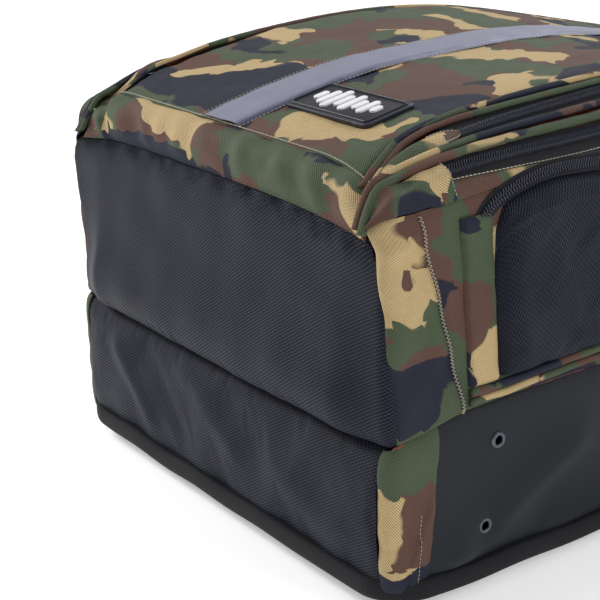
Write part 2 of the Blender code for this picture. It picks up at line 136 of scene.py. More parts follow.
def squarish(wave: Array, power: float) -> Array:
    """A sine or cosine with flatter sides, for sections between a circle and a box."""
    return np.sign(wave) * np.abs(wave) ** power


def quarter_round(share: Array) -> Array:
    """The rise of a rounded edge: 0 at the rim, 1 from a share of 1 on."""
    return np.sqrt(np.clip(1 - (1 - np.clip(share, 0, 1)) ** 2, 0, 1))


def circles(across: Array, up: Array, sides: int, flat: float = 1.0) -> Array:
    """A circle of points in the plane of two directions, at each place of a path."""
    angle = (np.arange(sides) * math.tau / sides)[None, :, None]
    return across[:, None] * np.cos(angle) + flat * up[:, None] * np.sin(angle)


def flipped(side: int) -> Array:
    """Factors that put the right side's points on one side of the bag."""
    return np.array([side, 1.0, 1.0])


def fold_at(points: Array, start: Sequence[float], end: Sequence[float], width: float) -> Array:
    """Height of a soft fold along one line in two coordinates: 1 on the line, 0 well away."""
    a = np.array(start, float)
    b = np.array(end, float)
    along = (b - a) / np.linalg.norm(b - a) ** 2
    share = np.clip((points - a) @ along, 0, 1)
    gap = np.linalg.norm(points - (a + share[..., None] * (b - a)), axis=-1)
    ends = smooth(np.minimum(share, 1 - share) * 4 + 0.15)
    return np.exp(-((gap / width) ** 2)) * ends


def folds_of(points: Array, rows: Sequence[Tuple[float, Pair, Pair, float]]) -> Array:
    """Sum of soft folds, each given by its height, its two ends and its width."""
    return sum(height * fold_at(points, start, end, width) for height, start, end, width in rows)


# ---- form of the bag --------------------------------------------------------------------------
@dataclass(frozen=True)
class BagForm:
    """The bag's outline from above and its heights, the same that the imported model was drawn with."""

    half_width: float
    length: float
    bottom: float
    low_radius: float = 0.009
    top_radius: float = 0.060
    peak_height: float = 0.262
    peak_place: float = 0.200
    fall: float = 0.68
    taper_length: float = 0.160
    insets: Tuple[float, ...] = (0.000, 0.013, 0.020, 0.027, 0.040, 0.060)
    lows: Tuple[float, ...] = (0.019, 0.006, 0.003, 0.001, -0.001, -0.001)
    gains: Tuple[float, ...] = (0.014, 0.015, 0.010, 0.006, 0.000, 0.000)

    @property
    def marks(self) -> Tuple[float, float, float, float, float]:
        """Places along the outline where it turns: corner start and end, top corner start and end, middle."""
        straight = self.half_width - self.low_radius
        turned = straight + self.low_radius * math.pi / 2
        climbed = turned + self.length - self.low_radius - self.top_radius
        over = climbed + self.top_radius * math.pi / 2
        return straight, turned, climbed, over, over + self.half_width - self.top_radius

    def front(self, y: Array) -> Array:
        """Height of the front face."""
        sag = 0.0040 * np.exp(-(((y - 0.365) / 0.075) ** 2))
        return self.peak_height - self.fall * (y - self.peak_place) ** 2 - sag

    def flank(self, inset: Array, y: Array) -> Array:
        """Height of the flank between the fold and the front face."""
        low = np.interp(inset, self.insets, self.lows)
        gain = np.interp(inset, self.insets, self.gains)
        dip = 0.0135 * (np.maximum(0.0, 0.008 - y) / 0.011) ** 1.6
        return self.front(y) - low - gain * smooth(y / self.taper_length) - dip

    def fold(self, y: Array) -> Array:
        """Height of the fold between the side walls and the lid's flank."""
        rise = np.interp(y, (0.0, 0.0174, 0.0368, 0.0535, 0.0633, 0.10, 0.13),
                         (0.0045, 0.0015, -0.0014, -0.0022, -0.0020, -0.0004, 0.0))
        sink = 0.0060 * (np.maximum(0.0, 0.004 - y) / 0.008) ** 2
        return self.front(y) - 0.019 - 0.014 * smooth(y / self.taper_length) + rise - sink

    def crease(self, y: Array) -> Array:
        """Height of the crease between the rear and the main compartment."""
        return np.interp(y, (0.0, 0.008, 0.023, 0.0475, 0.075), (0.0968, 0.0996, 0.1016, 0.1068, 0.1074))

    def outline(self, s: Array, out: Array = 0.0) -> Tuple[Array, Array]:
        """Plan coordinates at arc lengths from the bottom end's middle, negative on the left side."""
        a = np.abs(s)
        turn1, turn2, turn3, turn4, _ = self.marks
        r, big = self.low_radius, self.top_radius
        angle = np.where(a < turn2, np.clip((a - turn1) / r, 0, None) - math.pi / 2,
                         np.clip((a - turn3) / big, 0, math.pi / 2))
        x = np.where(a < turn2, np.minimum(a, turn1) + r * np.cos(angle) * (a > turn1),
                     self.half_width - big * (1 - np.cos(angle)) - np.maximum(0.0, a - turn4))
        y = np.where(a < turn2, r + r * np.sin(angle), r + np.clip(a - turn2, 0, turn3 - turn2)
                     + big * np.sin(angle))
        x = x + out * np.cos(angle)
        y = y + out * np.sin(angle)
        return np.where(s < 0, -x, x), y

    def along(self, y: float) -> float:
        """Arc length of a place on the right side."""
        return self.marks[1] + y - self.low_radius

    def lane(self, inset: Callable[[Array], Array] | float, start: float, step: float = 0.003,
             lift: float = 0.0, stop: Optional[float] = None) -> "Line":
        """A line on the flank: up the right side, round the top end and down the left side.

        Args:
            inset: how far inside the outline, one number or a function of the place.
            start: where it starts along the bag.
            step: spacing of its points.
            lift: height above the flank.
            stop: ends it on the right side at this place.

        Returns:
            The line with its upward directions.
        """
        inner = inset if callable(inset) else (lambda y: np.full_like(y, inset))
        turn = self.length - self.top_radius
        run = np.linspace(start, turn if stop is None else stop, max(3, int((turn - start) / step)))
        width = inner(run)
        x = self.half_width - width
        tuck = np.maximum(0.0, 0.006 - run) / 0.010
        x = x - 0.012 * tuck**2 * np.clip(1 - width / 0.010, 0, 1)
        y = run
        if stop is None:
            end = float(width[-1])
            angle = np.linspace(0, math.pi / 2, int(self.top_radius * 1.2 / step))[1:]
            middle = self.half_width - self.top_radius
            level = np.linspace(middle, 0.0, int(middle / step))[1:]
            x = np.concatenate([x, middle + (self.top_radius - end) * np.cos(angle), level])
            y = np.concatenate([y, turn + (self.top_radius - end) * np.sin(angle),
                                np.full_like(level, self.length - end)])
            width = np.concatenate([width, np.full(len(angle) + len(level), end)])
            x = np.concatenate([x, -x[-2::-1]])
            y = np.concatenate([y, y[-2::-1]])
            width = np.concatenate([width, width[-2::-1]])
        z = np.where(width < 1e-6, self.fold(y), self.flank(width, y))
        points = np.stack([x, y, z], -1)
        forward = unit(np.gradient(points, axis=0))
        level_in = unit(np.cross(np.array([0.0, 0.0, 1.0]), forward))
        rise = (self.flank(width + 0.001, y) - self.flank(width - 0.001, y)) / 0.002
        across = unit(level_in + rise[:, None] * np.array([0.0, 0.0, 1.0]))
        up = unit(np.cross(forward, across))
        up = up * np.sign(up[:, 2:3] + 1e-9)
        return Line(points + up * lift, up)


@dataclass
class Line:
    """Points with the direction that faces out of the bag at each."""

    points: Array
    up: Array

    def lifted(self, height: float) -> "Line":
        """The same line further out."""
        return Line(self.points + self.up * height, self.up)

    def mirrored(self, side: int) -> "Line":
        """The line itself, or its mirror image on the left."""
        flip = flipped(side)
        return Line(self.points * flip, self.up * flip)

    def spaced(self, step: float) -> "Line":
        """The line again with points at one spacing."""
        lengths = np.linalg.norm(np.diff(self.points, axis=0), axis=1)
        where = np.concatenate([[0.0], np.cumsum(lengths)])
        new = np.linspace(0.0, where[-1], max(2, int(round(where[-1] / step)) + 1))
        pick = [np.interp(new, where, self.points[:, k]) for k in range(3)]
        ups = [np.interp(new, where, self.up[:, k]) for k in range(3)]
        return Line(np.stack(pick, -1), unit(np.stack(ups, -1)))

    @property
    def forward(self) -> Array:
        """Direction of travel at each point."""
        return unit(np.gradient(self.points, axis=0))


BACK_LOW, BACK_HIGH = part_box("back_panel")
BACK_MARGIN = 0.0025
FORM = BagForm(
    half_width=BACK_HIGH.x + BACK_MARGIN + 0.0005,
    length=BACK_HIGH.y - BACK_LOW.y + 2 * BACK_MARGIN,
    bottom=BACK_LOW.y - BACK_MARGIN,
)
CORE = np.array([0.0, FORM.length / 2, 0.125])


# ---- finishes ---------------------------------------------------------------------------------
def shade(red: int, green: int, blue: int) -> Tuple[float, float, float, float]:
    """A colour as the eye names it, turned into light values."""
    values = [c / 255 for c in (red, green, blue)]
    return tuple(v / 12.92 if v <= 0.04045 else ((v + 0.055) / 1.055) ** 2.4 for v in values) + (1.0,)


def new_object(name: str, data: Optional[bpy.types.ID]) -> bpy.types.Object:
    """A new object of the scene."""
    obj = bpy.data.objects.new(name, data)
    bpy.context.scene.collection.objects.link(obj)
    return obj


class Tree:
    """A material's nodes, added one by one."""

    def __init__(self, name: str) -> None:
        """Starts a material with its Principled shader."""
        self.material = bpy.data.materials.new(name)
        self.material.use_nodes = True
        self.tree = self.material.node_tree
        self.shader = self.tree.nodes["Principled BSDF"]

    def put(self, socket: bpy.types.NodeSocket, value: object) -> None:
        """Links a socket, or sets its value."""
        if isinstance(value, bpy.types.NodeSocket):
            self.tree.links.new(value, socket)
        else:
            socket.default_value = value

    def node(self, kind: str, inputs: Optional[Dict[object, object]] = None,
             **settings: object) -> bpy.types.Node:
        """Adds a node with its inputs and settings."""
        made = self.tree.nodes.new(kind)
        for key, value in settings.items():
            setattr(made, key, value)
        for key, value in (inputs or {}).items():
            self.put(made.inputs[key], value)
        return made

    def math(self, operation: str, *values: object) -> bpy.types.NodeSocket:
        """One sum of numbers or sockets."""
        return self.node("ShaderNodeMath", dict(enumerate(values)), operation=operation).outputs[0]

    def line(self, value: object, gain: object, base: object) -> bpy.types.NodeSocket:
        """A value times its gain, plus its base."""
        return self.math("MULTIPLY_ADD", value, gain, base)

    def step(self, value: object, low: float, high: float, **settings: object) -> bpy.types.NodeSocket:
        """0 below low, 1 above high, and a ramp between."""
        return self.node("ShaderNodeMapRange", {0: value, 1: low, 2: high}, **settings).outputs[0]

    def vector(self, operation: str, first: object, second: object) -> bpy.types.NodeSocket:
        """A sum of two vectors."""
        return self.node("ShaderNodeVectorMath", {0: first, 1: second}, operation=operation).outputs[0]

    def mix(self, share: object, low: object, high: object) -> bpy.types.NodeSocket:
        """A colour between two."""
        return self.node("ShaderNodeMix", {0: share, 6: low, 7: high}, data_type="RGBA").outputs[2]

    def scale(self, colour: object, share: object) -> bpy.types.NodeSocket:
        """A colour made darker or lighter."""
        plain = colour[:3] if isinstance(colour, tuple) else colour
        made = self.node("ShaderNodeVectorMath", {0: plain}, operation="SCALE")
        self.put(made.inputs["Scale"], share)
        return made.outputs[0]

    def cloth(self) -> Tuple[bpy.types.NodeSocket, bpy.types.NodeSocket, bpy.types.NodeSocket]:
        """Cloth coordinates in metres, and each of the two by itself."""
        vector = self.node("ShaderNodeUVMap", uv_map="cloth").outputs[0]
        split = self.node("ShaderNodeSeparateXYZ", {0: vector})
        return vector, split.outputs[0], split.outputs[1]

    def noise(self, vector: object, size: float, detail: float = 2.0, rough: float = 0.5) -> bpy.types.Node:
        """Noise with bumps about one size, in metres."""
        return self.node("ShaderNodeTexNoise",
                         {"Vector": vector, "Scale": 1.0 / size, "Detail": detail, "Roughness": rough})

    def ribs(self, u: object, v: object, angle: float, pitch: float) -> bpy.types.NodeSocket:
        """Lines at an angle in degrees and a pitch in metres, from 0 to 1."""
        turn = math.radians(angle)
        across = self.math("MULTIPLY", u, math.cos(turn) * math.tau / pitch)
        total = self.math("MULTIPLY_ADD", v, math.sin(turn) * math.tau / pitch, across)
        wave = self.math("SINE", total)
        return self.math("MULTIPLY_ADD", wave, 0.5, 0.5)

    def bump(self, height: object, depth: float, strength: float = 1.0,
             under: object = None) -> bpy.types.NodeSocket:
        """A normal from heights of 0 to 1, depth metres high."""
        made = self.node("ShaderNodeBump", {"Height": height, "Distance": depth, "Strength": strength})
        if under is not None:
            self.put(made.inputs["Normal"], under)
        return made.outputs[0]

    def finish(self, colour: object, rough: object, normal: object = None,
               **fixed: object) -> bpy.types.Material:
        """Ends the material on its shader."""
        self.put(self.shader.inputs["Base Color"], colour)
        self.put(self.shader.inputs["Roughness"], rough)
        if normal is not None:
            self.put(self.shader.inputs["Normal"], normal)
        for key, value in fixed.items():
            self.shader.inputs[key.replace("_", " ")].default_value = value
        return self.material


@dataclass(frozen=True)
class CamoTwill:
    """Printed woodland twill: four colours in sharp blotches over fine diagonal ribs."""

    green: Colour = shade(70, 82, 60)
    brown: Colour = shade(90, 64, 54)
    tan: Colour = shade(184, 160, 116)
    navy: Colour = shade(24, 28, 46)
    blotch: float = 0.058
    pitch: float = 0.00105

    def make(self) -> bpy.types.Material:
        """Builds the material."""
        t = Tree("camo_twill")
        vector, u, v = t.cloth()
        drift = t.noise(vector, 0.036, 1.5).outputs["Color"]
        drift = t.scale(t.vector("SUBTRACT", drift, (0.5, 0.5, 0.5)), 0.040)
        moved = t.vector("ADD", vector, drift)
        facets = t.node("ShaderNodeTexVoronoi", {"Vector": moved, "Scale": 85.0}).outputs["Position"]
        place = t.node("ShaderNodeMix", {0: 0.42, 4: moved, 5: facets}, data_type="VECTOR").outputs[1]
        colour = self.green
        layers = ((self.brown, 0.0, 0.510), (self.tan, 3.7, 0.595), (self.navy, 7.9, 0.600))
        for print_colour, offset, level in layers:
            moves = {"Vector": place, "Location": (offset, offset * 0.7, offset * 0.3),
                     "Scale": (0.72, 1.15, 1.0)}
            spot = t.node("ShaderNodeMapping", moves).outputs[0]
            amount = t.noise(spot, self.blotch, 0.8, 0.45).outputs[0]
            edge = t.step(amount, level - 0.0035, level + 0.0035)
            colour = t.mix(edge, colour, print_colour)
        rib = t.ribs(u, v, 38, self.pitch)
        cross = t.ribs(u, v, -52, self.pitch * 1.6)
        weave = t.line(cross, 0.18, t.math("MULTIPLY", rib, 0.82))
        mottled = t.noise(vector, 0.004, 3.0).outputs[0]
        light = t.line(weave, 0.95, 0.43)
        light = t.line(mottled, 0.20, light)
        worn = t.noise(vector, 0.035, 4.0).outputs[0]
        light = t.line(worn, 0.16, t.math("SUBTRACT", light, 0.10))
        normal = t.bump(weave, 0.00022, 0.9)
        rough = t.line(weave, -0.12, 0.70)
        return t.finish(t.scale(colour, light), rough, normal, Sheen_Weight=0.02, Sheen_Roughness=0.45,
                        Specular_IOR_Level=0.25)


@dataclass(frozen=True)
class RibbedNylon:
    """Coarse near-black nylon with slanting ribs and a cool sheen; the lighter colour on the rib crests is a
    painted sheen highlight.
    """

    name: str = "ballistic_nylon"
    dark: Colour = shade(7, 8, 14)
    # painted highlight: the lighter rib colour stands for the bluish sheen on the near-black nylon
    light: Colour = shade(54, 59, 78)
    pitch: float = 0.00165
    angle: float = 122.0

    def make(self) -> bpy.types.Material:
        """Builds the material."""
        t = Tree(self.name)
        vector, u, v = t.cloth()
        rib = t.ribs(u, v, self.angle, self.pitch)
        cross = t.ribs(u, v, self.angle - 78, self.pitch * 1.35)
        weave = t.math("MULTIPLY", rib, t.line(cross, 0.55, 0.45))
        patch = t.noise(vector, 0.030, 3.0).outputs[0]
        amount = t.math("MULTIPLY", weave, t.line(patch, 0.9, 0.25))
        # The slanting rib weave is the cloth's own; the lighter colour mixed onto its crests, stronger in
        # some patches, is painted sheen.
        colour = t.mix(amount, self.dark, self.light)
        normal = t.bump(weave, 0.00035, 0.9)
        rough = t.line(weave, -0.14, 0.60)
        return t.finish(colour, rough, normal, Sheen_Weight=0.01, Sheen_Roughness=0.40,
                        Sheen_Tint=(0.75, 0.80, 1.0, 1.0), Specular_IOR_Level=0.16)


@dataclass(frozen=True)
class PlainCloth:
    """Plain cloth of one colour with a fine even weave."""

    name: str
    colour: Colour
    pitch: float = 0.0008
    depth: float = 0.00012
    rough: float = 0.75
    sheen: float = 0.10
    contrast: float = 0.30

    def make(self) -> bpy.types.Material:
        """Builds the material."""
        t = Tree(self.name)
        vector, u, v = t.cloth()
        weave = t.math("MULTIPLY", t.ribs(u, v, 0, self.pitch), t.ribs(u, v, 90, self.pitch * 1.15))
        patch = t.noise(vector, 0.040, 4.0).outputs[0]
        light = t.line(weave, self.contrast, 1 - self.contrast * 0.6)
        light = t.line(patch, 0.30, t.math("SUBTRACT", light, 0.15))
        normal = t.bump(weave, self.depth, 0.8)
        rough = t.line(patch, 0.12, self.rough - 0.06)
        return t.finish(t.scale(self.colour, light), rough, normal, Sheen_Weight=self.sheen,
                        Sheen_Roughness=0.5,
                        Specular_IOR_Level=0.30)


@dataclass(frozen=True)
class HerringboneTape:
    """Narrow woven tape whose ribs turn over in the middle."""

    name: str
    dark: Colour = shade(5, 5, 8)
    light: Colour = shade(34, 35, 41)
    pitch: float = 0.0011
    turn_over: float = 0.0055

    def make(self) -> bpy.types.Material:
        """Builds the material."""
        t = Tree(self.name)
        vector, u, v = t.cloth()
        zigzag = t.math("PINGPONG", v, self.turn_over)
        rib = t.ribs(u, zigzag, 45, self.pitch)
        patch = t.noise(vector, 0.012, 3.0).outputs[0]
        amount = t.math("MULTIPLY", rib, t.line(patch, 0.8, 0.3))
        normal = t.bump(rib, 0.00025, 0.9)
        rough = t.line(patch, 0.15, 0.62)
        return t.finish(t.mix(amount, self.dark, self.light), rough, normal, Sheen_Weight=0.02,
                        Specular_IOR_Level=0.22)


@dataclass(frozen=True)
class SatinTape:
    """Grey reflective tape: a soft metallic satin, with painted shade darkening it along its rounded edges.
    """

    name: str = "reflective_tape"
    colour: Colour = shade(140, 141, 162)
    # painted shade on the tape's rounded edges
    edge: Colour = shade(66, 66, 92)

    def make(self) -> bpy.types.Material:
        """Builds the material."""
        t = Tree(self.name)
        vector, _, v = t.cloth()
        grain = t.node("ShaderNodeMapping", {"Vector": vector, "Scale": (0.15, 1.0, 1.0)}).outputs[0]
        streak = t.noise(grain, 0.0009, 3.0).outputs[0]
        patch = t.noise(vector, 0.020, 4.0).outputs[0]
        away = t.math("ABSOLUTE", v)
        # painted shade: the colour darkens towards both edges, where the padded tape rounds down
        near = t.step(away, 0.0125, 0.0195, interpolation_type="SMOOTHSTEP")
        colour = t.mix(near, self.colour, self.edge)
        light = t.line(streak, 0.35, t.line(patch, 0.25, 0.70))
        rough = t.line(streak, 0.16, 0.30)
        normal = t.bump(streak, 0.00010, 0.6)
        return t.finish(t.scale(colour, light), rough, normal, Metallic=0.40, Sheen_Weight=0.05)


@dataclass(frozen=True)
class Moulded:
    """Moulded rubber or plastic, or plated metal, with a fine grain and rubbed high spots."""

    name: str
    colour: Colour
    rubbed: Colour
    rough: float = 0.45
    metal: float = 0.0
    grain: float = 0.0008

    def make(self) -> bpy.types.Material:
        """Builds the material."""
        t = Tree(self.name)
        vector = t.node("ShaderNodeTexCoord").outputs["Object"]
        grain = t.noise(vector, self.grain, 3.0).outputs[0]
        smudge = t.noise(vector, 0.012, 4.0, 0.6).outputs[0]
        rubs = t.noise(vector, 0.006, 5.0, 0.65).outputs[0]
        worn = t.step(rubs, 0.62, 0.74)
        colour = t.mix(worn, self.colour, self.rubbed)
        light = t.line(smudge, 0.35, 0.82)
        rough = t.line(smudge, 0.22, self.rough - 0.11)
        return t.finish(t.scale(colour, light), rough, t.bump(grain, 0.00005, 0.5), Metallic=self.metal)


@dataclass(frozen=True)
class SpacerMesh:
    """Padded mesh with small round holes."""

    name: str = "back_mesh"
    hole: float = 0.0028

    def make(self) -> bpy.types.Material:
        """Builds the material."""
        t = Tree(self.name)
        vector, _, _ = t.cloth()
        cell = t.node("ShaderNodeTexVoronoi",
                      {"Vector": vector, "Scale": 1 / self.hole, "Randomness": 0.25}).outputs[0]
        solid = t.step(cell, 0.26, 0.40)
        fuzz = t.noise(vector, 0.0006, 2.0).outputs[0]
        colour = t.mix(solid, shade(6, 6, 8), shade(38, 39, 43))
        light = t.line(fuzz, 0.5, 0.75)
        return t.finish(t.scale(colour, light), 0.85, t.bump(solid, 0.0006, 1.0), Sheen_Weight=0.25)


class Cloth(Enum):
    """The bag's finishes, each with the record's slot it is listed under."""

    CAMO = "camo_twill"
    NYLON = "ballistic_nylon"
    SMOOTH = "smooth_fabric"
    TAPE = "zip_tape"
    BINDING = "binding"
    LINING = "orange_lining"
    SATIN = "reflective_tape"
    RUBBER = "badge_rubber"
    SLIDER = "zip_metal"
    EYELET = "eyelet_metal"
    PLASTIC = "hard_plastic"
    MESH = "back_mesh"
    THREAD = "thread"
    DARK_THREAD = "dark_thread"
    RED_THREAD = "red_thread"
    COIL = "coil"
    PRINT = "white_rubber"


SLOTS = {Cloth.THREAD: Cloth.CAMO, Cloth.DARK_THREAD: Cloth.NYLON, Cloth.RED_THREAD: Cloth.NYLON,
         Cloth.COIL: Cloth.TAPE, Cloth.PRINT: Cloth.RUBBER}


class Wardrobe:
    """Makes each finish once."""

    def __init__(self) -> None:
        """Lists how each finish is made."""
        self.recipes = {
            Cloth.CAMO: CamoTwill(),
            Cloth.NYLON: RibbedNylon(),
            Cloth.SMOOTH: PlainCloth("smooth_fabric", shade(18, 24, 31), 0.0006, 0.00006, 0.60, 0.02, 0.15),
            Cloth.TAPE: PlainCloth("zip_tape", shade(22, 22, 30), 0.0010, 0.00022, 0.70, 0.02, 0.5),
            Cloth.BINDING: HerringboneTape("binding"),
            Cloth.LINING: PlainCloth("orange_lining", shade(216, 92, 30), 0.0007, 0.00012, 0.6, 0.2, 0.25),
            Cloth.SATIN: SatinTape(),
            Cloth.RUBBER: Moulded("badge_rubber", shade(26, 28, 40), shade(60, 62, 76), 0.46),
            Cloth.SLIDER: Moulded("zip_metal", shade(38, 38, 42), shade(120, 120, 126), 0.34, 0.9),
            Cloth.EYELET: Moulded("eyelet_metal", shade(92, 96, 104), shade(150, 154, 162), 0.34, 0.9),
            Cloth.PLASTIC: Moulded("hard_plastic", shade(26, 26, 29), shade(64, 64, 68), 0.42),
            Cloth.MESH: SpacerMesh(),
            Cloth.THREAD: PlainCloth("thread", shade(196, 190, 168), 0.0004, 0.00008, 0.6, 0.2, 0.5),
            Cloth.DARK_THREAD: PlainCloth("dark_thread", shade(34, 35, 42), 0.0004, 0.00008, 0.6, 0.2, 0.5),
            Cloth.RED_THREAD: PlainCloth("red_thread", shade(170, 40, 28), 0.0004, 0.00008, 0.6, 0.2, 0.5),
            # painted highlight: the coil's own nylon is dark; its colour is lighter here to stand for the
            # coil's bright glints
            Cloth.COIL: PlainCloth("coil", shade(66, 68, 80), 0.0008, 0.00004, 0.30, 0.0, 0.3),
            Cloth.PRINT: Moulded("white_rubber", shade(232, 232, 234), shade(245, 245, 246), 0.5),
        }
        self.made: Dict[Cloth, bpy.types.Material] = {}

    def get(self, cloth: Cloth) -> bpy.types.Material:
        """The finish's material."""
        if cloth not in self.made:
            self.made[cloth] = self.recipes[cloth].make()
        return self.made[cloth]

    def cloth_of(self, obj: bpy.types.Object) -> Cloth:
        """The finish in an object's first slot."""
        return next(cloth for cloth, made in self.made.items() if made == obj.data.materials[0])


WARDROBE = Wardrobe()


# ---- making pieces ----------------------------------------------------------------------------
def slumped(points: Array) -> Array:
    """The bag's points with its left bottom corner pulled in, where the filling doesn't reach."""
    x, y, z = points[..., 0], points[..., 1], points[..., 2]
    pull = np.interp(z, (0.098, 0.106, 0.137, 0.163, 0.190, 0.203, 0.214, 0.235),
                     (0.0, 0.005, 0.008, 0.004, 0.0, 0.004, 0.014, 0.017))
    share = smooth((-x - 0.100) / 0.045) * (1 - smooth((y - 0.004) / 0.050))
    moved = points.copy()
    moved[..., 0] = x + pull * share
    return moved


@dataclass(frozen=True)
class Rides:
    """What a piece moves with: one body, or two bodies and the stretch between them, for which it is only
    baked in place.
    """

    body: str
    to: Optional[str] = None
    start: Pair = (0.0, 0.0)
    end: Pair = (0.0, 0.0)
    x_start: float = 0.0
    x_end: float = 0.0

    def fix(self, obj: bpy.types.Object) -> None:
        """Attaches a piece to its one body, or bakes its place into its mesh when it has two."""
        if self.to is None:
            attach(obj, self.body)
            return
        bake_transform(obj)


LID_FOLD = Rides("bag", "main_lid", (0.0300, 0.240), (0.0430, 0.240))
FLAP_FOLD = Rides("main_lid", "front_flap", (0.0855, 0.250), (0.0960, 0.250))
BAG = Rides("bag")
LID = Rides("main_lid")


def register(obj: bpy.types.Object, rides: Rides, stands_for: Sequence[str] = ()) -> bpy.types.Object:
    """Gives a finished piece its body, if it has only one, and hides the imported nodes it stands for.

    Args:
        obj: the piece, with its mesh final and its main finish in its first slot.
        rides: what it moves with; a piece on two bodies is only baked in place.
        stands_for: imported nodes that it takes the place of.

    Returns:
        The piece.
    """
    rides.fix(obj)
    cloth = WARDROBE.cloth_of(obj)
    SLOTS.get(cloth, cloth).value
    if stands_for:
        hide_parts(*stands_for)
    LOG.info("%s: %d faces on %s", obj.name, len(obj.data.polygons), rides.body)
    return obj


def mesh_piece(name: str, points: Array, quads: Array, uv: Array, finishes: Sequence[Cloth],
               second: Optional[Array] = None, sharp: Optional[Array] = None) -> bpy.types.Object:
    """A mesh from points of the bag, four-sided faces and cloth coordinates for each face corner."""
    mesh = bpy.data.meshes.new(name)
    placed = slumped(np.array(points, float).reshape(-1, 3)) + np.array([0.0, FORM.bottom, 0.0])
    mesh.vertices.add(len(placed))
    mesh.vertices.foreach_set("co", placed.astype(np.float32).ravel())
    mesh.loops.add(len(quads) * 4)
    mesh.loops.foreach_set("vertex_index", quads.astype(np.int32).ravel())
    mesh.polygons.add(len(quads))
    mesh.polygons.foreach_set("loop_start", np.arange(0, len(quads) * 4, 4, dtype=np.int32))
    mesh.polygons.foreach_set("loop_total", np.full(len(quads), 4, dtype=np.int32))
    if second is not None:
        mesh.polygons.foreach_set("material_index", second.astype(np.int32))
    mesh.polygons.foreach_set("use_smooth", np.ones(len(quads), dtype=bool))
    layer = mesh.uv_layers.new(name="cloth")
    layer.data.foreach_set("uv", uv.astype(np.float32).ravel())
    for cloth in finishes:
        mesh.materials.append(WARDROBE.get(cloth))
    mesh.update(calc_edges=True)
    mesh.validate()
    if sharp is not None:
        ends = np.zeros(len(mesh.edges) * 2, dtype=np.int32)
        mesh.edges.foreach_get("vertices", ends)
        ends = np.sort(ends.reshape(-1, 2), axis=1)
        pairs = np.sort(sharp, axis=1)
        size = len(placed)
        crisp = np.isin(ends[:, 0] * size + ends[:, 1], pairs[:, 0] * size + pairs[:, 1])
        layer = mesh.attributes.new("sharp_edge", "BOOLEAN", "EDGE")
        layer.data.foreach_set("value", crisp)
    return new_object(name, mesh)


def cells(rows: int, columns: int, ring: bool = False) -> Array:
    """Corner indices of a lattice's quads; a ring's last column joins its first."""
    i = np.arange(rows - 1)[:, None]
    j = np.arange(columns if ring else columns - 1)[None, :]
    k = (j + 1) % columns
    low, high = i * columns, (i + 1) * columns
    return grid_of(low + j, high + j, high + k, low + k).reshape(-1, 4)


def lattice_normals(points: Array, core: Optional[Array] = None) -> Array:
    """Outward directions of a lattice of points."""
    across = np.gradient(points, axis=1)
    along = np.gradient(points, axis=0)
    normal = unit(np.cross(along, across))
    middle = CORE if core is None else core
    if np.sum(normal * (points - middle)) < 0:
        normal = -normal
    return normal


def lattice_uv(points: Array, shift: Pair) -> Array:
    """Cloth coordinates in metres: along the middle column, and across each row from its middle."""
    mid = points.shape[1] // 2
    steps = np.linalg.norm(np.diff(points, axis=0), axis=2).mean(axis=1)
    down = np.concatenate([[0.0], np.cumsum(steps)])
    widths = np.linalg.norm(np.diff(points, axis=1), axis=2).mean(axis=0)
    over = np.concatenate([[0.0], np.cumsum(widths)])
    over = over - over[mid]
    return grid_of(over[None, :] + shift[0], down[:, None] + shift[1])


def skin(name: str, points: Array, cloth: Cloth, thick: float = LIGHT_THICK, shift: Pair = (0.0, 0.0),
         uv: Optional[Array] = None, lining: Optional[Cloth] = None, core: Optional[Array] = None,
         swap: bool = False) -> bpy.types.Object:
    """A sewn panel: a lattice of points for its face, and the same behind it, closed round the edge.

    Args:
        name: the piece's name.
        points: rows by columns of points of the bag.
        cloth: finish of the face.
        thick: how far behind the face its back is.
        shift: where on the printed cloth it is cut.
        uv: its own cloth coordinates.
        lining: finish of the back.
        core: a point that the face looks away from.
        swap: turns the cloth by a quarter.

    Returns:
        The new piece.
    """
    rows, columns = points.shape[:2]
    normal = lattice_normals(points, core)
    inner = points - normal * thick
    grid = lattice_uv(points, shift) if uv is None else uv
    if swap:
        grid = grid[..., ::-1]
    flat_uv = grid.reshape(-1, 2)
    count = rows * columns
    face = cells(rows, columns)
    a, b, c = (points.reshape(-1, 3)[face[:, k]] for k in range(3))
    facing = np.cross(b - a, c - b)
    if np.sum(facing * normal.reshape(-1, 3)[face[:, 0]]) < 0:
        face = face[:, ::-1]
    index = np.arange(count).reshape(rows, columns)
    edge = np.concatenate([index[0, :], index[1:, -1], index[-1, -2::-1], index[-2:0:-1, 0]])
    after = np.roll(edge, -1)
    rim = np.stack([edge, after, after + count, edge + count], -1)
    everything = np.concatenate([points.reshape(-1, 3), inner.reshape(-1, 3)])
    corner = list(face[0])
    if corner[(corner.index(0) + 1) % 4] == 1:
        rim = rim[:, ::-1]
    crisp = np.stack([edge, after], -1)
    crisp = np.concatenate([crisp, crisp + count])
    quads = np.concatenate([face, face[:, ::-1] + count, rim])
    corner_uv = np.concatenate([flat_uv, flat_uv])[quads.ravel()]
    second = np.zeros(len(quads))
    finishes = [cloth]
    if lining is not None:
        second[len(face): 2 * len(face)] = 1
        finishes.append(lining)
    return mesh_piece(name, everything, quads, corner_uv, finishes, second, crisp)


def strip_between(first: Line, second: Line, columns: int, bulge: float = 0.0, sink: float = 0.0) -> Array:
    """Points of a band between two lines of the same length, raised in its middle."""
    share = np.linspace(0, 1, columns)
    base = first.points[:, None] * (1 - share)[None, :, None] + second.points[:, None] * share[None, :, None]
    up = unit(first.up + second.up)
    height = bulge * np.sqrt(np.clip(crown(share, 2.0), 0, 1)) - sink
    return base + up[:, None] * height[None, :, None]


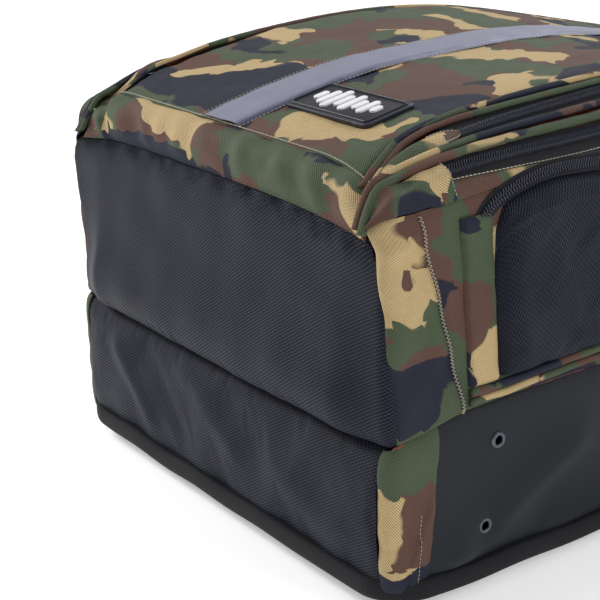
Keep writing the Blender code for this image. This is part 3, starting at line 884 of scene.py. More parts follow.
def tube(name: str, points: Array, length: Array, girth: float, cloth: Cloth, shift: Pair = (0.0, 0.0),
         look: int = 1) -> bpy.types.Object:
    """A tube through rings of points.

    Args:
        name: the piece's name.
        points: rings by points round each.
        length: cloth length at each ring; one more than the rings closes the tube on itself.
        girth: cloth width round it.
        cloth: its finish.
        shift: where on the cloth it is cut.
        look: a ring that is full size, to tell its outside from its inside.

    Returns:
        The new piece.
    """
    rows, sides = points.shape[:2]
    quads = cells(len(length), sides, ring=True) % (rows * sides)
    i = np.arange(len(length) - 1)[:, None]
    j = np.arange(sides)[None, :]
    u = grid_of(length[i] + 0 * j, length[i + 1], length[i + 1], length[i]) + shift[0]
    v = grid_of(j + 0 * i, j, j + 1, j + 1) * girth / sides + shift[1]
    uv = np.stack([u, v], -1).reshape(-1, 4, 2)
    ring = points[look]
    facing = np.cross(ring[1] - ring[0], points[look + 1, 0] - ring[0])
    if np.dot(facing, ring[0] - ring.mean(0)) > 0:
        quads = quads[:, ::-1]
        uv = uv[:, ::-1]
    return mesh_piece(name, points, quads, uv.reshape(-1, 2), [cloth])


def roll(name: str, line: Line, radius: Array | float, cloth: Cloth, sides: int = 10,
         shift: Pair = (0.0, 0.0),
         flat: float = 1.0, step: float = 0.0025, seed: int = 0, wobble: float = 0.0) -> bpy.types.Object:
    """A round piping or cord along a line.

    Args:
        name: the piece's name.
        line: where its middle runs.
        radius: one radius, or one at each of the line's points.
        cloth: its finish.
        sides: faces round it.
        shift: where on the printed cloth it is cut.
        flat: height as a share of width.
        step: spacing of its rings.
        seed: picks the unevenness.
        wobble: how uneven it is, as a share of its radius.

    Returns:
        The new piece.
    """
    run = line.spaced(step)
    count = len(run.points)
    share = np.linspace(0, 1, count)
    size = np.interp(share, np.linspace(0, 1, np.size(radius)), np.atleast_1d(radius))
    size = size * (1 + wobble * ripple(run.points, 0.018, seed))
    picked = np.concatenate([[0], np.arange(count), [count - 1]])
    size = size[picked]
    size[[0, -1]] *= 0.03
    forward = run.forward[picked]
    middle = run.points[picked]
    count += 2
    across = unit(np.cross(forward, run.up[picked]))
    up = np.cross(across, forward)
    points = middle[:, None] + circles(across, up, sides, flat) * size[:, None, None]
    return tube(name, points, travelled(middle), math.tau * float(np.mean(size)), cloth, shift)


@dataclass(frozen=True)
class Seam:
    """A row of stitches: their pitch, length and thickness, and how they lean."""

    pitch: float = 0.0030
    length: float = 0.0023
    thread: float = 0.00032
    lean: float = 0.0
    height: float = 0.0002
    offset: float = 0.0

    def sew(self, name: str, line: Line, cloth: Cloth = Cloth.THREAD) -> bpy.types.Object:
        """Makes every stitch along a line as one piece.

        Args:
            name: the piece's name.
            line: where the seam runs.
            cloth: the thread.

        Returns:
            The new piece.
        """
        run = line.spaced(self.pitch)
        forward = run.forward
        across = unit(np.cross(run.up, forward))
        count = len(run.points)
        swing = np.where(np.arange(count) % 2 == 0, 1.0, -1.0) if self.lean > 0 else np.ones(count)
        turn = math.radians(self.lean)
        way = forward * math.cos(turn) + across * (swing * math.sin(turn))[:, None]
        side = unit(np.cross(run.up, way))
        reach = np.array([-1.0, -0.72, 0.0, 0.72, 1.0])
        size = np.array([0.12, 0.85, 1.0, 0.85, 0.12])
        rise = np.array([-0.9, 0.1, 0.6, 0.1, -0.9])
        middle = run.points + across * self.offset + run.up * self.height
        spine = middle[:, None] + way[:, None] * reach[None, :, None] * self.length / 2
        spine = spine + run.up[:, None] * (rise * self.thread)[None, :, None]
        ring = circles(side, run.up, 5)
        points = spine[:, :, None] + ring[:, None] * (size * self.thread)[None, :, None, None]
        one = cells(len(reach), 5, ring=True)[:, ::-1]
        quads = (one[None] + (np.arange(count) * 25)[:, None, None]).reshape(-1, 4)
        uv = np.tile(np.array([[0, 0], [0.001, 0], [0.001, 0.001], [0, 0.001]]), (len(quads), 1))
        return mesh_piece(name, points, quads, uv, [cloth])


@dataclass(frozen=True)
class Coil:
    """One side of a nylon coil zip: a real helix whose loops meet the other side's in the middle."""

    pitch: float = 0.00165
    reach: float = 0.00145
    height: float = 0.0008
    wire: float = 0.00036
    split: float = 0.00135
    turns: int = 10
    sides: int = 5

    def wind(self, name: str, line: Line, side: int) -> bpy.types.Object:
        """Winds one side along the zip's middle line.

        Args:
            name: the piece's name.
            line: middle of the zip.
            side: 1 for the row on the line's right hand, -1 for the other.

        Returns:
            The new piece.
        """
        run = line.spaced(self.pitch / self.turns)
        forward = run.forward
        across = unit(np.cross(forward, run.up))
        count = len(run.points)
        phase = np.arange(count) * math.tau / self.turns + (math.pi if side < 0 else 0.0)
        middle = run.points + across * side * self.split + run.up * self.height * 0.7
        out = np.cos(phase)[:, None] * self.reach
        up = np.sin(phase)[:, None] * self.height
        lean = np.cos(phase)[:, None] * side * self.pitch * 0.22
        path = middle + across * out + run.up * up + forward * lean
        way = unit(np.gradient(path, axis=0))
        outward = unit(across * out + run.up * up)
        sideways = unit(np.cross(way, outward))
        outward = np.cross(sideways, way)
        points = path[:, None] + circles(outward, sideways, self.sides) * self.wire
        quads = cells(count, self.sides, ring=True)
        uv = np.tile(np.array([[0, 0], [0.0004, 0], [0.0004, 0.0004], [0, 0.0004]]), (len(quads), 1))
        facing = np.cross(points[0, 1] - points[0, 0], points[1, 0] - points[0, 0])
        if np.dot(facing, points[0, 0] - path[0]) > 0:
            quads = quads[:, ::-1]
        return mesh_piece(name, points, quads, uv, [Cloth.COIL])


# ---- simulation -------------------------------------------------------------------------------
@dataclass(frozen=True)
class Filling:
    """How a sewn panel swells when it is filled: cloth held at its edge and pushed from behind."""

    pressure: float = 3.0
    slack: float = 0.02
    frames: int = 14
    cap: float = 0.006
    stiff: float = 1.5

    def swell(self, points: Array, core: Optional[Array] = None, ring: int = 1) -> Array:
        """Runs the cloth and gives the panel's new points.

        Args:
            points: rows by columns of points.
            core: a point that the panel is pushed away from.
            ring: how many rows of points at the edge stay sewn.

        Returns:
            The points after the cloth has settled, no further away than the cap.
        """
        rows, columns = points.shape[:2]
        face = cells(rows, columns)
        normal = lattice_normals(points, core).reshape(-1, 3)
        flat = points.reshape(-1, 3)
        a, b, c = (flat[face[:, k]] for k in range(3))
        if np.sum(np.cross(b - a, c - b) * normal[face[:, 0]]) < 0:
            face = face[:, ::-1]
        mesh = bpy.data.meshes.new("swelling")
        mesh.from_pydata([tuple(p) for p in flat], [], [tuple(int(i) for i in q) for q in face])
        obj = new_object("swelling", mesh)
        index = np.arange(rows * columns).reshape(rows, columns)
        held = np.ones((rows, columns), bool)
        held[ring:-ring, ring:-ring] = False
        group = obj.vertex_groups.new(name="sewn")
        group.add([int(i) for i in index[held]], 1.0, "REPLACE")
        cloth = obj.modifiers.new("cloth", "CLOTH")
        settings = cloth.settings
        settings.quality = 5
        settings.mass = 0.25
        settings.tension_stiffness = 12
        settings.compression_stiffness = 12
        settings.shear_stiffness = 5
        settings.bending_stiffness = self.stiff
        settings.vertex_group_mass = "sewn"
        settings.use_pressure = True
        settings.uniform_pressure_force = self.pressure
        settings.shrink_min = -self.slack
        settings.effector_weights.gravity = 0.0
        cloth.collision_settings.use_collision = False
        cloth.point_cache.frame_end = self.frames + 1
        for number in range(1, self.frames + 1):
            bpy.context.scene.frame_set(number)
        graph = bpy.context.evaluated_depsgraph_get()
        result = np.array([v.co[:] for v in obj.evaluated_get(graph).data.vertices])
        bpy.data.objects.remove(obj)
        bpy.data.meshes.remove(mesh)
        bpy.context.scene.frame_set(1)
        moved = result - flat
        far = np.linalg.norm(moved, axis=1, keepdims=True)
        soft = self.cap * np.tanh(far / self.cap)
        return (flat + moved * soft / np.maximum(far, 1e-9)).reshape(points.shape)


# ---- walls ------------------------------------------------------------------------------------
@dataclass
class Walls:
    """Side and end walls of both compartments, and the bands over their edges."""

    strip_s: float = 0.1557
    edge_heights: Tuple[float, ...] = (0.100, 0.1325, 0.170, 0.1986, 0.206, 0.214)
    edge_places: Tuple[float, ...] = (0.1708, 0.1668, 0.1628, 0.1585, 0.1530, 0.1490)
    left_places: Tuple[float, ...] = (0.1650, 0.1615, 0.1650, 0.1690, 0.1640, 0.1540)
    foot: float = 0.0165
    upper_folds: Tuple[Tuple[float, Pair, Pair, float], ...] = (
        (0.0072, (-0.153, 0.178), (-0.131, 0.112), 0.0055),
        (-0.0062, (-0.141, 0.186), (-0.117, 0.114), 0.0060),
        (0.0044, (-0.128, 0.165), (-0.080, 0.106), 0.0085),
        (-0.0026, (-0.103, 0.160), (-0.055, 0.110), 0.0080),
        (0.0036, (-0.078, 0.158), (-0.025, 0.108), 0.0100),
        (0.0022, (0.030, 0.150), (0.120, 0.112), 0.014),
        (-0.0020, (0.095, 0.198), (0.150, 0.150), 0.007),
        (-0.0014, (0.110, 0.202), (0.156, 0.172), 0.005))
    lower_folds: Tuple[Tuple[float, Pair, Pair, float], ...] = (
        (0.0034, (-0.12, 0.088), (-0.065, 0.028), 0.0095),
        (0.0026, (-0.04, 0.090), (0.035, 0.045), 0.012),
        (-0.0020, (-0.085, 0.092), (-0.030, 0.034), 0.0095),
        (0.0018, (0.05, 0.060), (0.145, 0.030), 0.012))

    def seam_place(self, z: Array) -> Array:
        """Where the slanting side seam runs at a height."""
        return 0.0193 + (0.2202 - z) * 0.2516

    def strip_place(self, z: Array) -> Array:
        """Where the corner strip ends on the side at a height."""
        return 0.0225 + (z - 0.0265) * 0.145

    def wall(self, left: Callable, right: Callable, low: Callable, high: Callable, rows: int, columns: int,
             relief: Callable) -> Array:
        """A wall's points between two edges along the outline and two heights.

        Args:
            left: arc length of its first edge for a share of its height.
            right: the same for its last edge.
            low: its lower height at a place along the bag.
            high: its upper height.
            rows: rows of points up it.
            columns: points along it.
            relief: how far it stands out, from arc length, height and the two shares.

        Returns:
            Rows by columns of points.
        """
        t, q = shares(rows, columns)
        s = left(t) * (1 - q) + right(t) * q
        _, y = FORM.outline(s)
        z = low(y) * (1 - t) + high(y) * t
        out = relief(s, z, t + 0 * q, q + 0 * t)
        x, y = FORM.outline(s, out)
        return np.stack([x, y, z], -1)

    def seam_arc(self, t: Array) -> Array:
        """Arc length of the slanting side seam at a share of the main wall's height."""
        return FORM.along(self.seam_place(0.1075 + 0.1127 * t))

    def strip_arc(self, t: Array) -> Array:
        """Arc length of the corner strip's edge at a share of the rear wall's height."""
        return FORM.along(self.strip_place(self.foot + 0.085 * t))

    def main_low(self, y: Array) -> Array:
        """Height of the main wall's lower edge."""
        return FORM.crease(y) + 0.0003

    def main_high(self, y: Array) -> Array:
        """Height of the main wall's upper edge."""
        return FORM.fold(y) - 0.0008

    def main_tucks(self, t: Array) -> Array:
        """How the main wall turns in at its lower and upper seams."""
        return -0.0030 * np.exp(-t / 0.025) - 0.0022 * np.exp(-(1 - t) / 0.03)

    def end_top(self, s: Array) -> Array:
        """Height of the upper end panel's top edge."""
        return 0.2140 - 0.0062 * (np.abs(s) / 0.145) ** 4

    def edge_share(self, t: Array, side: int = 1) -> Array:
        """Arc length of the upper end panel's side edge at a share of its height."""
        z = 0.100 + (0.213 - 0.100) * t
        return np.interp(z, self.edge_heights, self.edge_places if side > 0 else self.left_places)

    def upper_end(self) -> None:
        """The black upper panel: puckered along the top, bulging over the crease."""

        def relief(s: Array, z: Array, t: Array, q: Array) -> Array:
            """How far the wall stands out."""
            flat = grid_of(s, z)
            inner = 1 - 0.85 * smooth((np.abs(s) - 0.125) / 0.035)
            belly = (0.0095 * np.exp(-(((t - 0.17) / 0.25) ** 2)) + 0.0022 * crown(t, 2)) * inner
            low_tuck = -0.0075 * np.exp(-t / 0.030)
            top_tuck = -0.0016 * np.exp(-(1 - t) / 0.02)
            pucker = 0.00070 * np.sin(s * math.tau / 0.0021 + 2.0 * ripple(flat, 0.012, 3))
            pucker = pucker * np.exp(-(1 - t) / 0.055) * (1 + 0.6 * ripple(flat, 0.02, 4))
            notch = -0.0011 * np.clip(ripple(flat * (1, 0.2), 0.010, 5), 0.1,
                                      1) * np.exp(-((t - 0.055) / 0.035) ** 2)
            folds = folds_of(flat, self.upper_folds)
            side = -0.0016 * (np.exp(-q / 0.012) + np.exp(-(1 - q) / 0.012))
            unrest = 0.0009 * ripple(flat, 0.05, 6)
            return belly + low_tuck + top_tuck + pucker + notch + folds + side + unrest

        points = self.wall(lambda t: -self.edge_share(t, -1), self.edge_share, FORM.crease,
                           lambda y: 0.0, 46, 720, relief)
        t, q = shares(46, 720)
        s = -self.edge_share(t, -1) * (1 - q) + self.edge_share(t) * q
        points[..., 2] = FORM.crease(0 * s) * (1 - t) + self.end_top(s) * t
        piece = skin("upper_end_cover", points, Cloth.NYLON, HEAVY_THICK)
        register(piece, BAG, ["upper_end_panel"])

    def lower_end(self) -> None:
        """The black lower panel with soft slanting folds, down to the binding."""

        def relief(s: Array, z: Array, t: Array, q: Array) -> Array:
            """How far the wall stands out."""
            flat = grid_of(s, z)
            belly = 0.0040 * crown(t, 2.5)
            tucks = -0.0060 * np.exp(-(1 - t) / 0.035) - 0.0006 * np.exp(-t / 0.03)
            folds = folds_of(flat, self.lower_folds)
            side = -0.0022 * (np.exp(-q / 0.010) + np.exp(-(1 - q) / 0.010))
            notch = -0.0010 * np.clip(ripple(flat * (1, 0.2), 0.012, 15), 0.1,
                                      1) * np.exp(-((t - 0.93) / 0.05) ** 2)
            unrest = 0.0008 * ripple(flat, 0.045, 16)
            return (belly + tucks + folds + side + notch + unrest) * smooth(t / 0.10 + 0.15)

        edge = self.strip_s
        points = self.wall(lambda t: -edge + 0 * t, lambda t: edge + 0 * t, lambda y: self.foot + 0 * y,
                           lambda y: FORM.crease(0 * y) - 0.0004, 34, 330, relief)
        points = Filling(pressure=1.5, slack=0.002, cap=0.0018, frames=8).swell(points)
        piece = skin("lower_end_cover", points, Cloth.NYLON, HEAVY_THICK)
        register(piece, BAG, ["lower_end_panel"])

    def corner_strip(self, side: int, word: str) -> None:
        """The printed strip round the lower corner, with a second folded layer and its stitches."""

        def relief(s: Array, z: Array, t: Array, q: Array) -> Array:
            """How far the wall stands out."""
            flat = grid_of(s, z)
            tucks = -0.0045 * np.exp(-(1 - t) / 0.04) - 0.0012 * np.exp(-t / 0.03)
            edge = np.interp(z, (0.0165, 0.034, 0.062), (0.1720, 0.1735, 0.1860))
            layer = 0.0018 * smooth((s - edge) / 0.0012) * (1 - smooth((z - 0.060) / 0.012))
            return 0.0010 + tucks + layer + 0.0004 * ripple(flat, 0.02, 21)

        start = self.strip_s + 0.0004
        points = self.wall(lambda t: start + 0 * t, self.strip_arc,
                           lambda y: self.foot + 0 * y, lambda y: FORM.crease(y) - 0.0004, 40, 30, relief)
        flip = flipped(side)
        shift = (1.835, 1.712) if side > 0 else (0.21, 0.13)
        piece = skin(f"{word}_corner_cover", points * flip, Cloth.CAMO, LIGHT_THICK, shift,
                     lining=Cloth.LINING)
        register(piece, BAG, [f"{word}_corner_strip"])
        low = points[1:20, 22] * flip
        up = lattice_normals(points * flip)[1:20, 22]
        seam = Seam(pitch=0.0024, length=0.0018, thread=0.00022)
        register(seam.sew(f"{word}_corner_stitches", Line(low, up)), BAG)

    def side_walls(self, side: int, word: str) -> None:
        """Printed side wall: a corner panel, the slanting seam and the long panel behind the pocket."""
        flip = flipped(side)

        def relief(s: Array, z: Array, t: Array, q: Array) -> Array:
            """How far the wall stands out."""
            flat = grid_of(s, z)
            tucks = self.main_tucks(t)
            fold = -0.0012 * fold_at(flat, (0.186, 0.125), (0.184, 0.185), 0.005)
            under = -0.0022 * np.exp(-q / 0.05)
            pull = 0.0012 * fold_at(flat, (0.160, 0.200), (0.182, 0.212), 0.003)
            pull = pull - 0.0012 * fold_at(flat, (0.162, 0.190), (0.186, 0.204), 0.0035)
            over = 0.0009 * ripple(flat, 0.030, 31) + 0.0012 * np.exp(-(1 - q) / 0.05)
            return 0.0012 + tucks + fold + under + pull + over

        corner = self.wall(lambda t: self.edge_share(t, side) - 0.0030, self.seam_arc, self.main_low,
                           self.main_high, 70, 40, relief)
        shift = (1.924, 1.692) if side > 0 else (0.2, 0.55)
        piece = skin(f"{word}_side_corner", corner * flip, Cloth.CAMO, PANEL_THICK, shift)
        register(piece, BAG, [f"{word}_main_side"])

        def long_relief(s: Array, z: Array, t: Array, q: Array) -> Array:
            """How far the wall stands out."""
            flat = grid_of(s, z)
            tucks = self.main_tucks(t)
            return 0.0006 + tucks + 0.0008 * ripple(flat, 0.05, 33) + 0.0010 * np.exp(-q / 0.010)

        turn = FORM.marks[2]
        panel = self.wall(lambda t: self.seam_arc(t) + 0.0002, lambda t: turn + 0 * t, self.main_low,
                          self.main_high, 40, 150, long_relief)
        shift = (1.640, 0.964) if side > 0 else (0.1, 0.9)
        piece = skin(f"{word}_side_panel", panel * flip, Cloth.CAMO, PANEL_THICK, shift,
                     lining=Cloth.LINING)
        register(piece, BAG)
        edge = corner[1:-1, -1] * flip
        up = lattice_normals(corner * flip)[1:-1, -1]
        line = Line(edge, up)
        zigzag = Seam(pitch=0.0011, length=0.0021, thread=0.00025, lean=58, height=0.0007)
        register(zigzag.sew(f"{word}_side_stitches", line), BAG)
        ridge = roll(f"{word}_side_seam", line.lifted(-0.0004), 0.0011, Cloth.CAMO, 8, (0.52, 0.31), 0.8)
        register(ridge, BAG)

    def top_wall(self) -> None:
        """The printed wall round the top end."""

        def relief(s: Array, z: Array, t: Array, q: Array) -> Array:
            """How far the wall stands out."""
            tucks = self.main_tucks(t)
            return 0.0008 + tucks + 0.0009 * ripple(grid_of(s, z), 0.05, 36)

        turn = FORM.marks[2] + 0.0003
        total = 2 * FORM.marks[4]
        t, q = shares(34, 190)
        s = turn + (total - 2 * turn) * q + 0 * t
        folded = np.where(s > total / 2, total - s, s)
        sign = np.where(s > total / 2, -1.0, 1.0)
        _, y = FORM.outline(folded)
        z = self.main_low(y) * (1 - t) + self.main_high(y) * t
        x, y = FORM.outline(folded, relief(s, z, t + 0 * s, q))
        piece = skin("top_wall_cover", grid_of(x * sign, y, z), Cloth.CAMO, PANEL_THICK, (0.7, 1.7),
                     lining=Cloth.LINING)
        register(piece, BAG, ["main_top_wall"])

    def rear_side(self, side: int, word: str) -> None:
        """The smooth dark wall of the rear compartment, with a soft slanting ridge and two vents."""
        flip = flipped(side)
        holes = [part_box(f"{word}_eyelet_{n}") for n in (1, 2)]

        def relief(s: Array, z: Array, t: Array, q: Array) -> Array:
            """How far the wall stands out."""
            flat = grid_of(s, z)
            tucks = -0.0050 * np.exp(-(1 - t) / 0.05) - 0.0004 * np.exp(-t / 0.04)
            start, end = FORM.along(0.022), FORM.along(0.150)
            ridge = 0.0062 * fold_at(flat, (start, 0.016), (end, 0.080), 0.012)
            hollow = -0.0034 * fold_at(flat, (FORM.along(0.09), 0.020), (FORM.along(0.22), 0.055), 0.020)
            unrest = 0.0007 * ripple(flat, 0.07, 41)
            out = (0.0004 + tucks + ridge + hollow + unrest) * smooth(t / 0.10 + 0.15)
            for low, high in holes:
                y = (low.y + high.y) / 2 - FORM.bottom
                gap = np.hypot(s - FORM.along(y), z - (low.z + high.z) / 2)
                out = out * (1 - np.exp(-((gap / 0.010) ** 2))) + 0.0006 * np.exp(-((gap / 0.010) ** 2))
            return out

        end = FORM.marks[3] + 0.008
        points = self.wall(lambda t: self.strip_arc(t) + 0.0003, lambda t: end + 0 * t,
                           lambda y: 0.0170 + 0 * y, lambda y: FORM.crease(y) - 0.0004, 44, 230, relief)
        piece = skin(f"{word}_rear_cover", points * flip, Cloth.SMOOTH, LIGHT_THICK, (0.1, 0.1),
                     lining=Cloth.LINING)
        for low, high in holes:
            self.punch(piece, (Vector(low) + Vector(high)) / 2, 0.0031)
        register(piece, BAG, [f"{word}_rear_side"])
        for n in (1, 2):
            dress(f"{word}_eyelet_{n}", Cloth.EYELET)

    @staticmethod
    def punch(piece: bpy.types.Object, middle: Vector, radius: float) -> None:
        """Cuts a round vent through a wall."""
        mesh = bpy.data.meshes.new("punch")
        made = bmesh.new()
        turn = Matrix.Translation(middle) @ Matrix.Rotation(math.pi / 2, 4, "Y")
        bmesh.ops.create_cone(made, cap_ends=True, segments=28, radius1=radius, radius2=radius, depth=0.03,
                              matrix=turn)
        made.to_mesh(mesh)
        made.free()
        tool = new_object("punch", mesh)
        cut = piece.modifiers.new("vent", "BOOLEAN")
        cut.object = tool
        cut.operation = "DIFFERENCE"
        cut.solver = "EXACT"
        bpy.context.view_layer.update()
        graph = bpy.context.evaluated_depsgraph_get()
        done = bpy.data.meshes.new_from_object(piece.evaluated_get(graph))
        piece.modifiers.clear()
        piece.data = done
        bpy.data.objects.remove(tool)

    def build(self) -> None:
        """Makes every wall."""
        self.upper_end()
        self.lower_end()
        self.top_wall()
        for side, word in SIDES:
            self.corner_strip(side, word)
            self.side_walls(side, word)
            self.rear_side(side, word)
        red = np.array([[0.1675, 0.0010, 0.1018], [0.1683, 0.0035, 0.1024], [0.1690, 0.0060, 0.1030]])
        loose = Seam(pitch=0.0016, length=0.0022, thread=0.0003, lean=30)
        register(loose.sew("red_thread_end", Line(red, np.tile([0.8, -0.6, 0.0], (3, 1))),
                           Cloth.RED_THREAD), BAG)


def clothe(obj: bpy.types.Object, cloth: Cloth) -> None:
    """Gives an object its one finish."""
    obj.data.materials.clear()
    obj.data.materials.append(WARDROBE.get(cloth))


def dress(node: str, cloth: Cloth) -> None:
    """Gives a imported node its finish."""
    clothe(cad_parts[node], cloth)


# ---- lid, flap and zips -----------------------------------------------------------------------
@dataclass
class Flank:
    """The sloping flank from the side fold up to the front face: bands, pipings and both zips."""

    main_zip: float = 0.0106
    main_roll: float = 0.0165
    thin_roll: float = 0.0209
    front_zip: float = 0.0268
    cover_end: float = 0.0450
    front_cover_end: float = 0.0680
    start: float = -0.0045

    def front_piping_inset(self, y: Array) -> Array:
        """Inset of the front face's own piping, which swings in a little near the bottom end."""
        return np.interp(y, (0.0070, 0.0183, 0.0387, 0.0576, 0.0765, 0.0949, 0.121, 0.1485, 0.20),
                         (0.0286, 0.0335, 0.0398, 0.0416, 0.0405, 0.0386, 0.0370, 0.0360, 0.0355))

    def stitch_inset(self, y: Array) -> Array:
        """Inset of the white stitches beside the main zip."""
        return np.interp(y, (0.045, 0.0645, 0.0772, 0.1035, 0.13), (0.0065, 0.0052, 0.0045, 0.0036, 0.0032))

    def side_cover(self, side: int, word: str) -> None:
        """The printed cover over the main zip's lower end, with its stitched edge."""
        stop = self.cover_end
        low = FORM.lane(0.0, self.start, 0.0012, stop=stop)
        high = FORM.lane(0.0138, self.start, 0.0012, stop=stop)
        columns = 22
        points = strip_between(low, high, columns, 0.0036)
        share = np.linspace(0, 1, len(low.points))[:, None]
        q = np.linspace(0, 1, columns)[None, :]
        up = unit(low.up + high.up)[:, None]
        flatter = 0.0030 * np.sqrt(np.clip(crown(q, 2.0), 0, 1)) * (1 - smooth(share / 0.30))
        points = points - up * flatter[..., None]
        flat = points[..., :2]
        wave = 0.0010 * ripple(flat, 0.022, 51) + 0.0012 * np.sin(q * 7 - share * 2.5) * crown(q, 2)
        points = points + up * wave[..., None]
        flip = flipped(side)
        shift = (1.560, 0.278) if side > 0 else (1.3, 0.4)
        piece = skin(f"{word}_zip_cover", points * flip, Cloth.CAMO, PANEL_THICK, shift)
        register(piece, BAG, [f"{word}_zip_band"])
        edge = Line(points[-3, 2:-1] * flip, lattice_normals(points * flip)[-3, 2:-1])
        register(Seam(pitch=0.0022, length=0.0017, thread=0.00026).sew(f"{word}_cover_stitches", edge), BAG)

    def shoulder(self) -> None:
        """The printed band from the fold to the white stitch line, and the tape above it."""
        begin = self.cover_end - 0.008
        low = FORM.lane(0.0, begin)
        high = FORM.lane(self.stitch_inset, begin)
        points = strip_between(low, high, 9, 0.0016, 0.0002)
        register(skin("shoulder_band", points, Cloth.CAMO, LIGHT_THICK, (0.9, 0.2)), BAG, ["top_zip_band"])
        tape = strip_between(FORM.lane(lambda y: self.stitch_inset(y) - 0.0006, begin),
                             FORM.lane(self.main_zip - 0.0004, begin), 8, 0.0003, 0.0010)
        register(skin("main_lower_tape", tape, Cloth.TAPE, TAPE_THICK), BAG, ["main_zip_lower_tape"])
        seam = FORM.lane(self.stitch_inset, self.cover_end, lift=0.0009)
        register(Seam(pitch=0.0026, length=0.0022, thread=0.00034).sew("main_zip_stitches", seam), BAG)

    def main_zip_rows(self) -> None:
        """Both rows of the main zip and the lid's narrow tape."""
        line = FORM.lane(self.main_zip, self.cover_end - 0.002, lift=-0.0006)
        register(Coil().wind("main_coil_outer", line, 1), BAG)
        register(Coil().wind("main_coil_inner", line, -1), LID)
        tape = strip_between(FORM.lane(self.main_zip + 0.0004, self.cover_end),
                             FORM.lane(0.0150, self.cover_end), 6, 0.0, 0.0012)
        register(skin("main_upper_tape", tape, Cloth.TAPE, TAPE_THICK), LID, ["main_zip_upper_tape"])

    def middle_rolls(self) -> None:
        """The double piping between the zips: a full roll and a thin one, down to the bottom corners."""

        def gathered(wide: float) -> Callable[[Array], Array]:
            """An inset that draws out to the edge at the bottom corners."""
            return lambda y: wide - 0.0035 * np.exp(-np.maximum(y + 0.0045, 0) / 0.018)

        thin = FORM.lane(gathered(self.thin_roll), self.start, lift=0.0008)
        register(roll("lid_piping_thin", thin, 0.0021, Cloth.CAMO, 12, (0.33, 0.47), 0.9, seed=2,
                      wobble=0.05), LID_FOLD)
        full = FORM.lane(gathered(self.main_roll), self.start, lift=0.0008)
        register(roll("lid_piping", full, 0.0026, Cloth.CAMO, 14, (0.05, 0.12), 0.85, seed=3, wobble=0.06),
                 LID_FOLD, ["lid_gusset"])

    def front_zip_rows(self) -> None:
        """The front pocket's zip: lower tape and row on the lid, upper tape and row on the flap."""
        begin = self.front_cover_end - 0.005
        tape = strip_between(FORM.lane(0.0222, begin), FORM.lane(self.front_zip - 0.0004, begin), 8,
                             0.0003, 0.0004)
        register(skin("front_lower_tape", tape, Cloth.TAPE, 0.0010, lining=Cloth.LINING), LID)
        line = FORM.lane(self.front_zip, begin, lift=-0.0004)
        coil = Coil(reach=0.0013, split=0.0012)
        register(coil.wind("front_coil_outer", line, 1), LID)
        register(coil.wind("front_coil_inner", line, -1), FLAP_FOLD)
        upper = FORM.lane(lambda y: self.front_piping_inset(y) - 0.0040, begin)
        tape = strip_between(FORM.lane(self.front_zip + 0.0004, begin), upper, 8, 0.0002, 0.0008)
        register(skin("front_upper_tape", tape, Cloth.TAPE, TAPE_THICK), FLAP_FOLD, ["front_zip_upper_tape"])

    def front_piping(self) -> None:
        """The roll round the front face: its lower ends and the rest are made apart, meeting where the flap
        folds.
        """
        split = 0.0850
        rolls = (("", 0.0, 0.0020, 0.0010, ["flap_edge"]), ("_outer", 0.0038, 0.0019, 0.0006, []))
        for label, out, radius, lift, nodes in rolls:

            def inset(y: Array, out: float = out) -> Array:
                """Inset of this roll."""
                return self.front_piping_inset(y) - out

            whole = FORM.lane(inset, split, lift=lift)
            register(roll(f"flap_piping{label}", whole, radius, Cloth.CAMO, 12, (1.21, 0.77 + 9 * out),
                          0.9, seed=5, wobble=0.05), FLAP_FOLD, nodes)
            for side, word in SIDES:
                low = FORM.lane(inset, 0.0075, 0.002, lift, stop=split)
                sunk = low.points.copy()
                sunk[:, 2] -= corner_drop(sunk[:, 0], sunk[:, 1])
                line = Line(sunk, low.up).mirrored(side)
                piece = roll(f"{word}_lid_front_piping{label}", line, radius, Cloth.CAMO, 12,
                             (0.71 - 0.4 * side, 0.35 + 9 * out), 0.9, seed=6, wobble=0.05)
                register(piece, LID_FOLD)

    def front_cover(self, side: int, word: str) -> None:
        """The printed cover between the pipings, with the rounded stitched end where the front zip starts."""
        stop = self.front_cover_end
        low = FORM.lane(0.0212, 0.0065, 0.0010, 0.0, stop)
        high = FORM.lane(lambda y: np.minimum(self.front_piping_inset(y) - 0.0050, 0.0315), 0.0065, 0.0010,
                         0.0, stop)
        for line in (low, high):
            line.points[:, 2] -= corner_drop(line.points[:, 0], line.points[:, 1]) * 0.8
        share = np.linspace(0, 1, len(low.points))
        pinch = np.sqrt(np.clip(1 - (np.clip(share - 0.80, 0, 1) / 0.20) ** 2, 0.0, 1)) * 0.5
        middle = (low.points + high.points) / 2
        first = Line(middle + (low.points - middle) * (pinch * 2)[:, None], low.up)
        second = Line(middle + (high.points - middle) * (pinch * 2)[:, None], high.up)
        points = strip_between(first, second, 20, 0.0022)
        up = unit(low.up + high.up)[:, None]
        points = points + up * (0.0010 + 0.0005 * ripple(points[..., :2], 0.02, 61))[..., None]
        flip = flipped(side)
        shift = (0.139, 0.076) if side > 0 else (0.4, 1.4)
        piece = skin(f"{word}_front_zip_cover", points * flip, Cloth.CAMO, 0.0014, shift)
        register(piece, LID_FOLD)
        k = int(len(points) * 0.72)
        border = np.concatenate([points[k:-1, 2], points[-1:, 10], points[-2:k:-1, -3]]) * flip
        ups = lattice_normals(points * flip)
        border_up = np.concatenate([ups[k:-1, 2], ups[-1:, 10], ups[-2:k:-1, -3]])
        seam = Seam(pitch=0.0022, length=0.0018, thread=0.0003, height=0.0003)
        register(seam.sew(f"{word}_front_cover_stitches", Line(border, border_up)), LID)

    def build(self) -> None:
        """Makes the flank."""
        self.shoulder()
        self.main_zip_rows()
        self.middle_rolls()
        self.front_zip_rows()
        self.front_piping()
        for side, word in SIDES:
            self.side_cover(side, word)
            self.front_cover(side, word)


